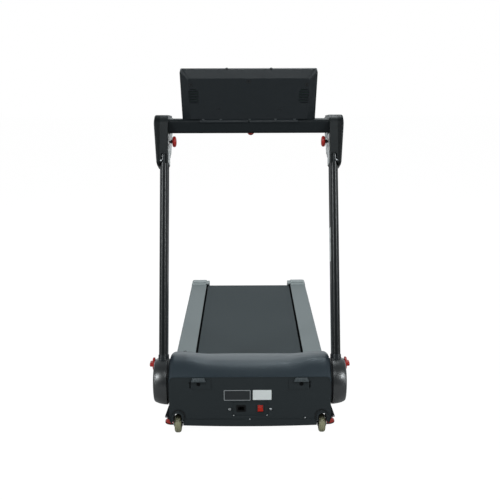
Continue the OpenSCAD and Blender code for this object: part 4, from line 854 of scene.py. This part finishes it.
shell_satin = moulded("shell_satin", srgb(17, 21, 22), rough=0.42, shift=0.04, tone=0.05,
                      grain=1200, bump=0.0, dust=0.002, gloss=0.16)
rings = [cover_ring(0.0, None)]
rings += [cover_ring(edge * (1 - np.cos(a)), 0.0016 + edge * (1 - np.sin(a)))
          for a in np.linspace(0, np.pi / 2, 8)]
rings += [cover_ring(d, rise) for d, rise in ((0.0095, 0.0010), (0.0120, 0.0005), (0.0138, 0.0))]
out, fore, up = np.moveaxis(rings, -1, 0)
for side, word in SIDES:
    points, faces = lofted(on_upright(side * (tube_out + out), fore, up))
    shell = piece(word + "_bracket_shell", points, faces, shell_satin, "uprights")
    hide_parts(word + "_bracket_cover")


# Upper clamp knobs ----------------------------------------------------------------------
# Lens-shaped red heads on blackened studs, on the brackets' inner sides.
high_low, high_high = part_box("right_upper_knob")
head_x = high_low[0] + 0.015
reach = high_high[0] - head_x
lens = [(0, 0)] + smooth_line(
    (10, [(0.005, 0), (0.017, 0), (0.020, 0.004), (0.019, 0.0075)]),
    (10, [(0.019, 0.0075), (0.020, 0.011), (0.017, 0.015), (0.005, 0.015)])) + [(0, 0.015)]
high_stud = [(0, 0), (stud_r, 0), (stud_r, reach), (0, reach)]
nut = [(0, 0), (0.0068, 0), (0.0068, 0.004), (0.0055, 0.0052), (0, 0.0052)]
for side, word in SIDES:
    body, up = word + "_high_clamp", bar_up - clamp_reach
    head = turned(word + "_upper_knob_head", lens, 40, on_upright(side * head_x, 0, up),
                  (-side, 0, 0), knob_red, body)
    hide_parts(word + "_upper_knob")
    turned(word + "_upper_stud", high_stud, 24, on_upright(side * (head_x - 0.0005), 0, up),
           (side, 0, 0), dark_steel, body)
    turned(word + "_upper_nut", nut, 6, on_upright(side * (head_x + 0.0010), 0, up),
           (side, 0, 0), dark_steel, body, sharp=20)


# Hand grips -----------------------------------------------------------------------------
# Ribbed soft rubber, pushed on the pegs at the rear of the brackets.
dress(moulded("grip_rubber", srgb(27, 28, 30), rough=0.7, grain=800, bump=0.12),
      "left_hand_grip", "right_hand_grip")


# Crossbar -------------------------------------------------------------------------------
# A rectangular steel tube with rounded corners between the brackets, in satin dark paint.
dress(moulded("bar_paint", srgb(29, 33, 35), rough=0.4, shift=0.05, grain=900, bump=0.03,
              dust=0.01, gloss=0.14), "crossbar")


# Safety key -----------------------------------------------------------------------------
# A red magnetic button on the user's side of the crossbar; pulling it off stops the belt.
key_gloss = moulded("safety_key_plastic", srgb(198, 44, 30), rough=0.28, gloss=0.5, coat=0.2)
dress(key_gloss, "safety_key")


# Console shells -------------------------------------------------------------------------
# Two black mouldings screwed together from behind: a bevelled back with two speaker
# grilles, and the user's side with its window and keys.
console_black = moulded("console_plastic", srgb(28, 33, 36), rough=0.38, grain=1000, bump=0.05,
                        gloss=0.3)
dress(console_black, "console_back", "console_front")


# Console fastenings ---------------------------------------------------------------------
# Black screws and two moulded pips on the back panel, two pegs on the upper edge, and a row
# of small grey bosses along the lip over the crossbar.
console_lean = math.radians(19.0)
bar_axis = on_upright(0, 0, bar_up)
back_axis = np.array([0, -math.cos(console_lean), -math.sin(console_lean)])
back_up = np.array([0, -math.sin(console_lean), math.cos(console_lean)])


def on_console(x, back, up):
    """A place on the leaning console: x across, back and up from the crossbar's axis."""
    return bar_axis + np.array([x, 0, 0]) + back * back_axis + up * back_up


face = 0.0178
for k, (x, z) in enumerate(((0.0, 0.172), (-0.199, 0.160), (0.199, 0.160))):
    turned(f"console_screw_{k + 1}", [(0, 0), (0.0062, 0), (0.0058, 0.0012), (0.0036, 0.0014),
                                      (0.0034, 0.0002), (0, 0.0001)], 24,
           on_console(x, face, z), back_axis, dark_steel, "console")
for k, x in enumerate((-0.105, 0.108)):
    turned(f"console_mould_mark_{k + 1}", [(0, 0), (0.004, 0), (0.003, 0.0022), (0, 0.0026)], 16,
           on_console(x, face, 0.070), back_axis, console_black, "console")
for k, x in enumerate((-0.075, 0.077)):
    turned(f"console_peg_{k + 1}", round_edge(0.0045, 0.004, 0.0015), 20,
           on_console(x, -0.003, 0.2085), back_up, dark_steel, "console")
boss_grey = moulded("boss_plastic", srgb(62, 66, 68), rough=0.35, gloss=0.4)
for k, x in enumerate((-0.160, -0.098, 0.003, 0.094, 0.160)):
    turned(f"console_boss_{k + 1}", round_edge(0.0045, 0.0022, 0.001), 16,
           bar_axis + (x, -0.0265, 0.0245), (0, -0.7, 0.7), boss_grey, "console")


# Console window and keys ----------------------------------------------------------------
# A smoked acrylic window over the dark readout, and four push keys without any print.
dress(moulded("window_acrylic", srgb(12, 15, 17), rough=0.08, shift=0.03, bump=0.0, gloss=0.5,
              coat=0.6), "display")
dress(moulded("circuit_board", srgb(40, 96, 60), rough=0.5), "console_electronics")
dress(key_gloss, "stop_key")
dress(moulded("key_green", srgb(52, 120, 70), rough=0.35, gloss=0.4), "start_key")
dress(moulded("key_grey", srgb(98, 105, 108), rough=0.4, gloss=0.4), "faster_key", "slower_key")
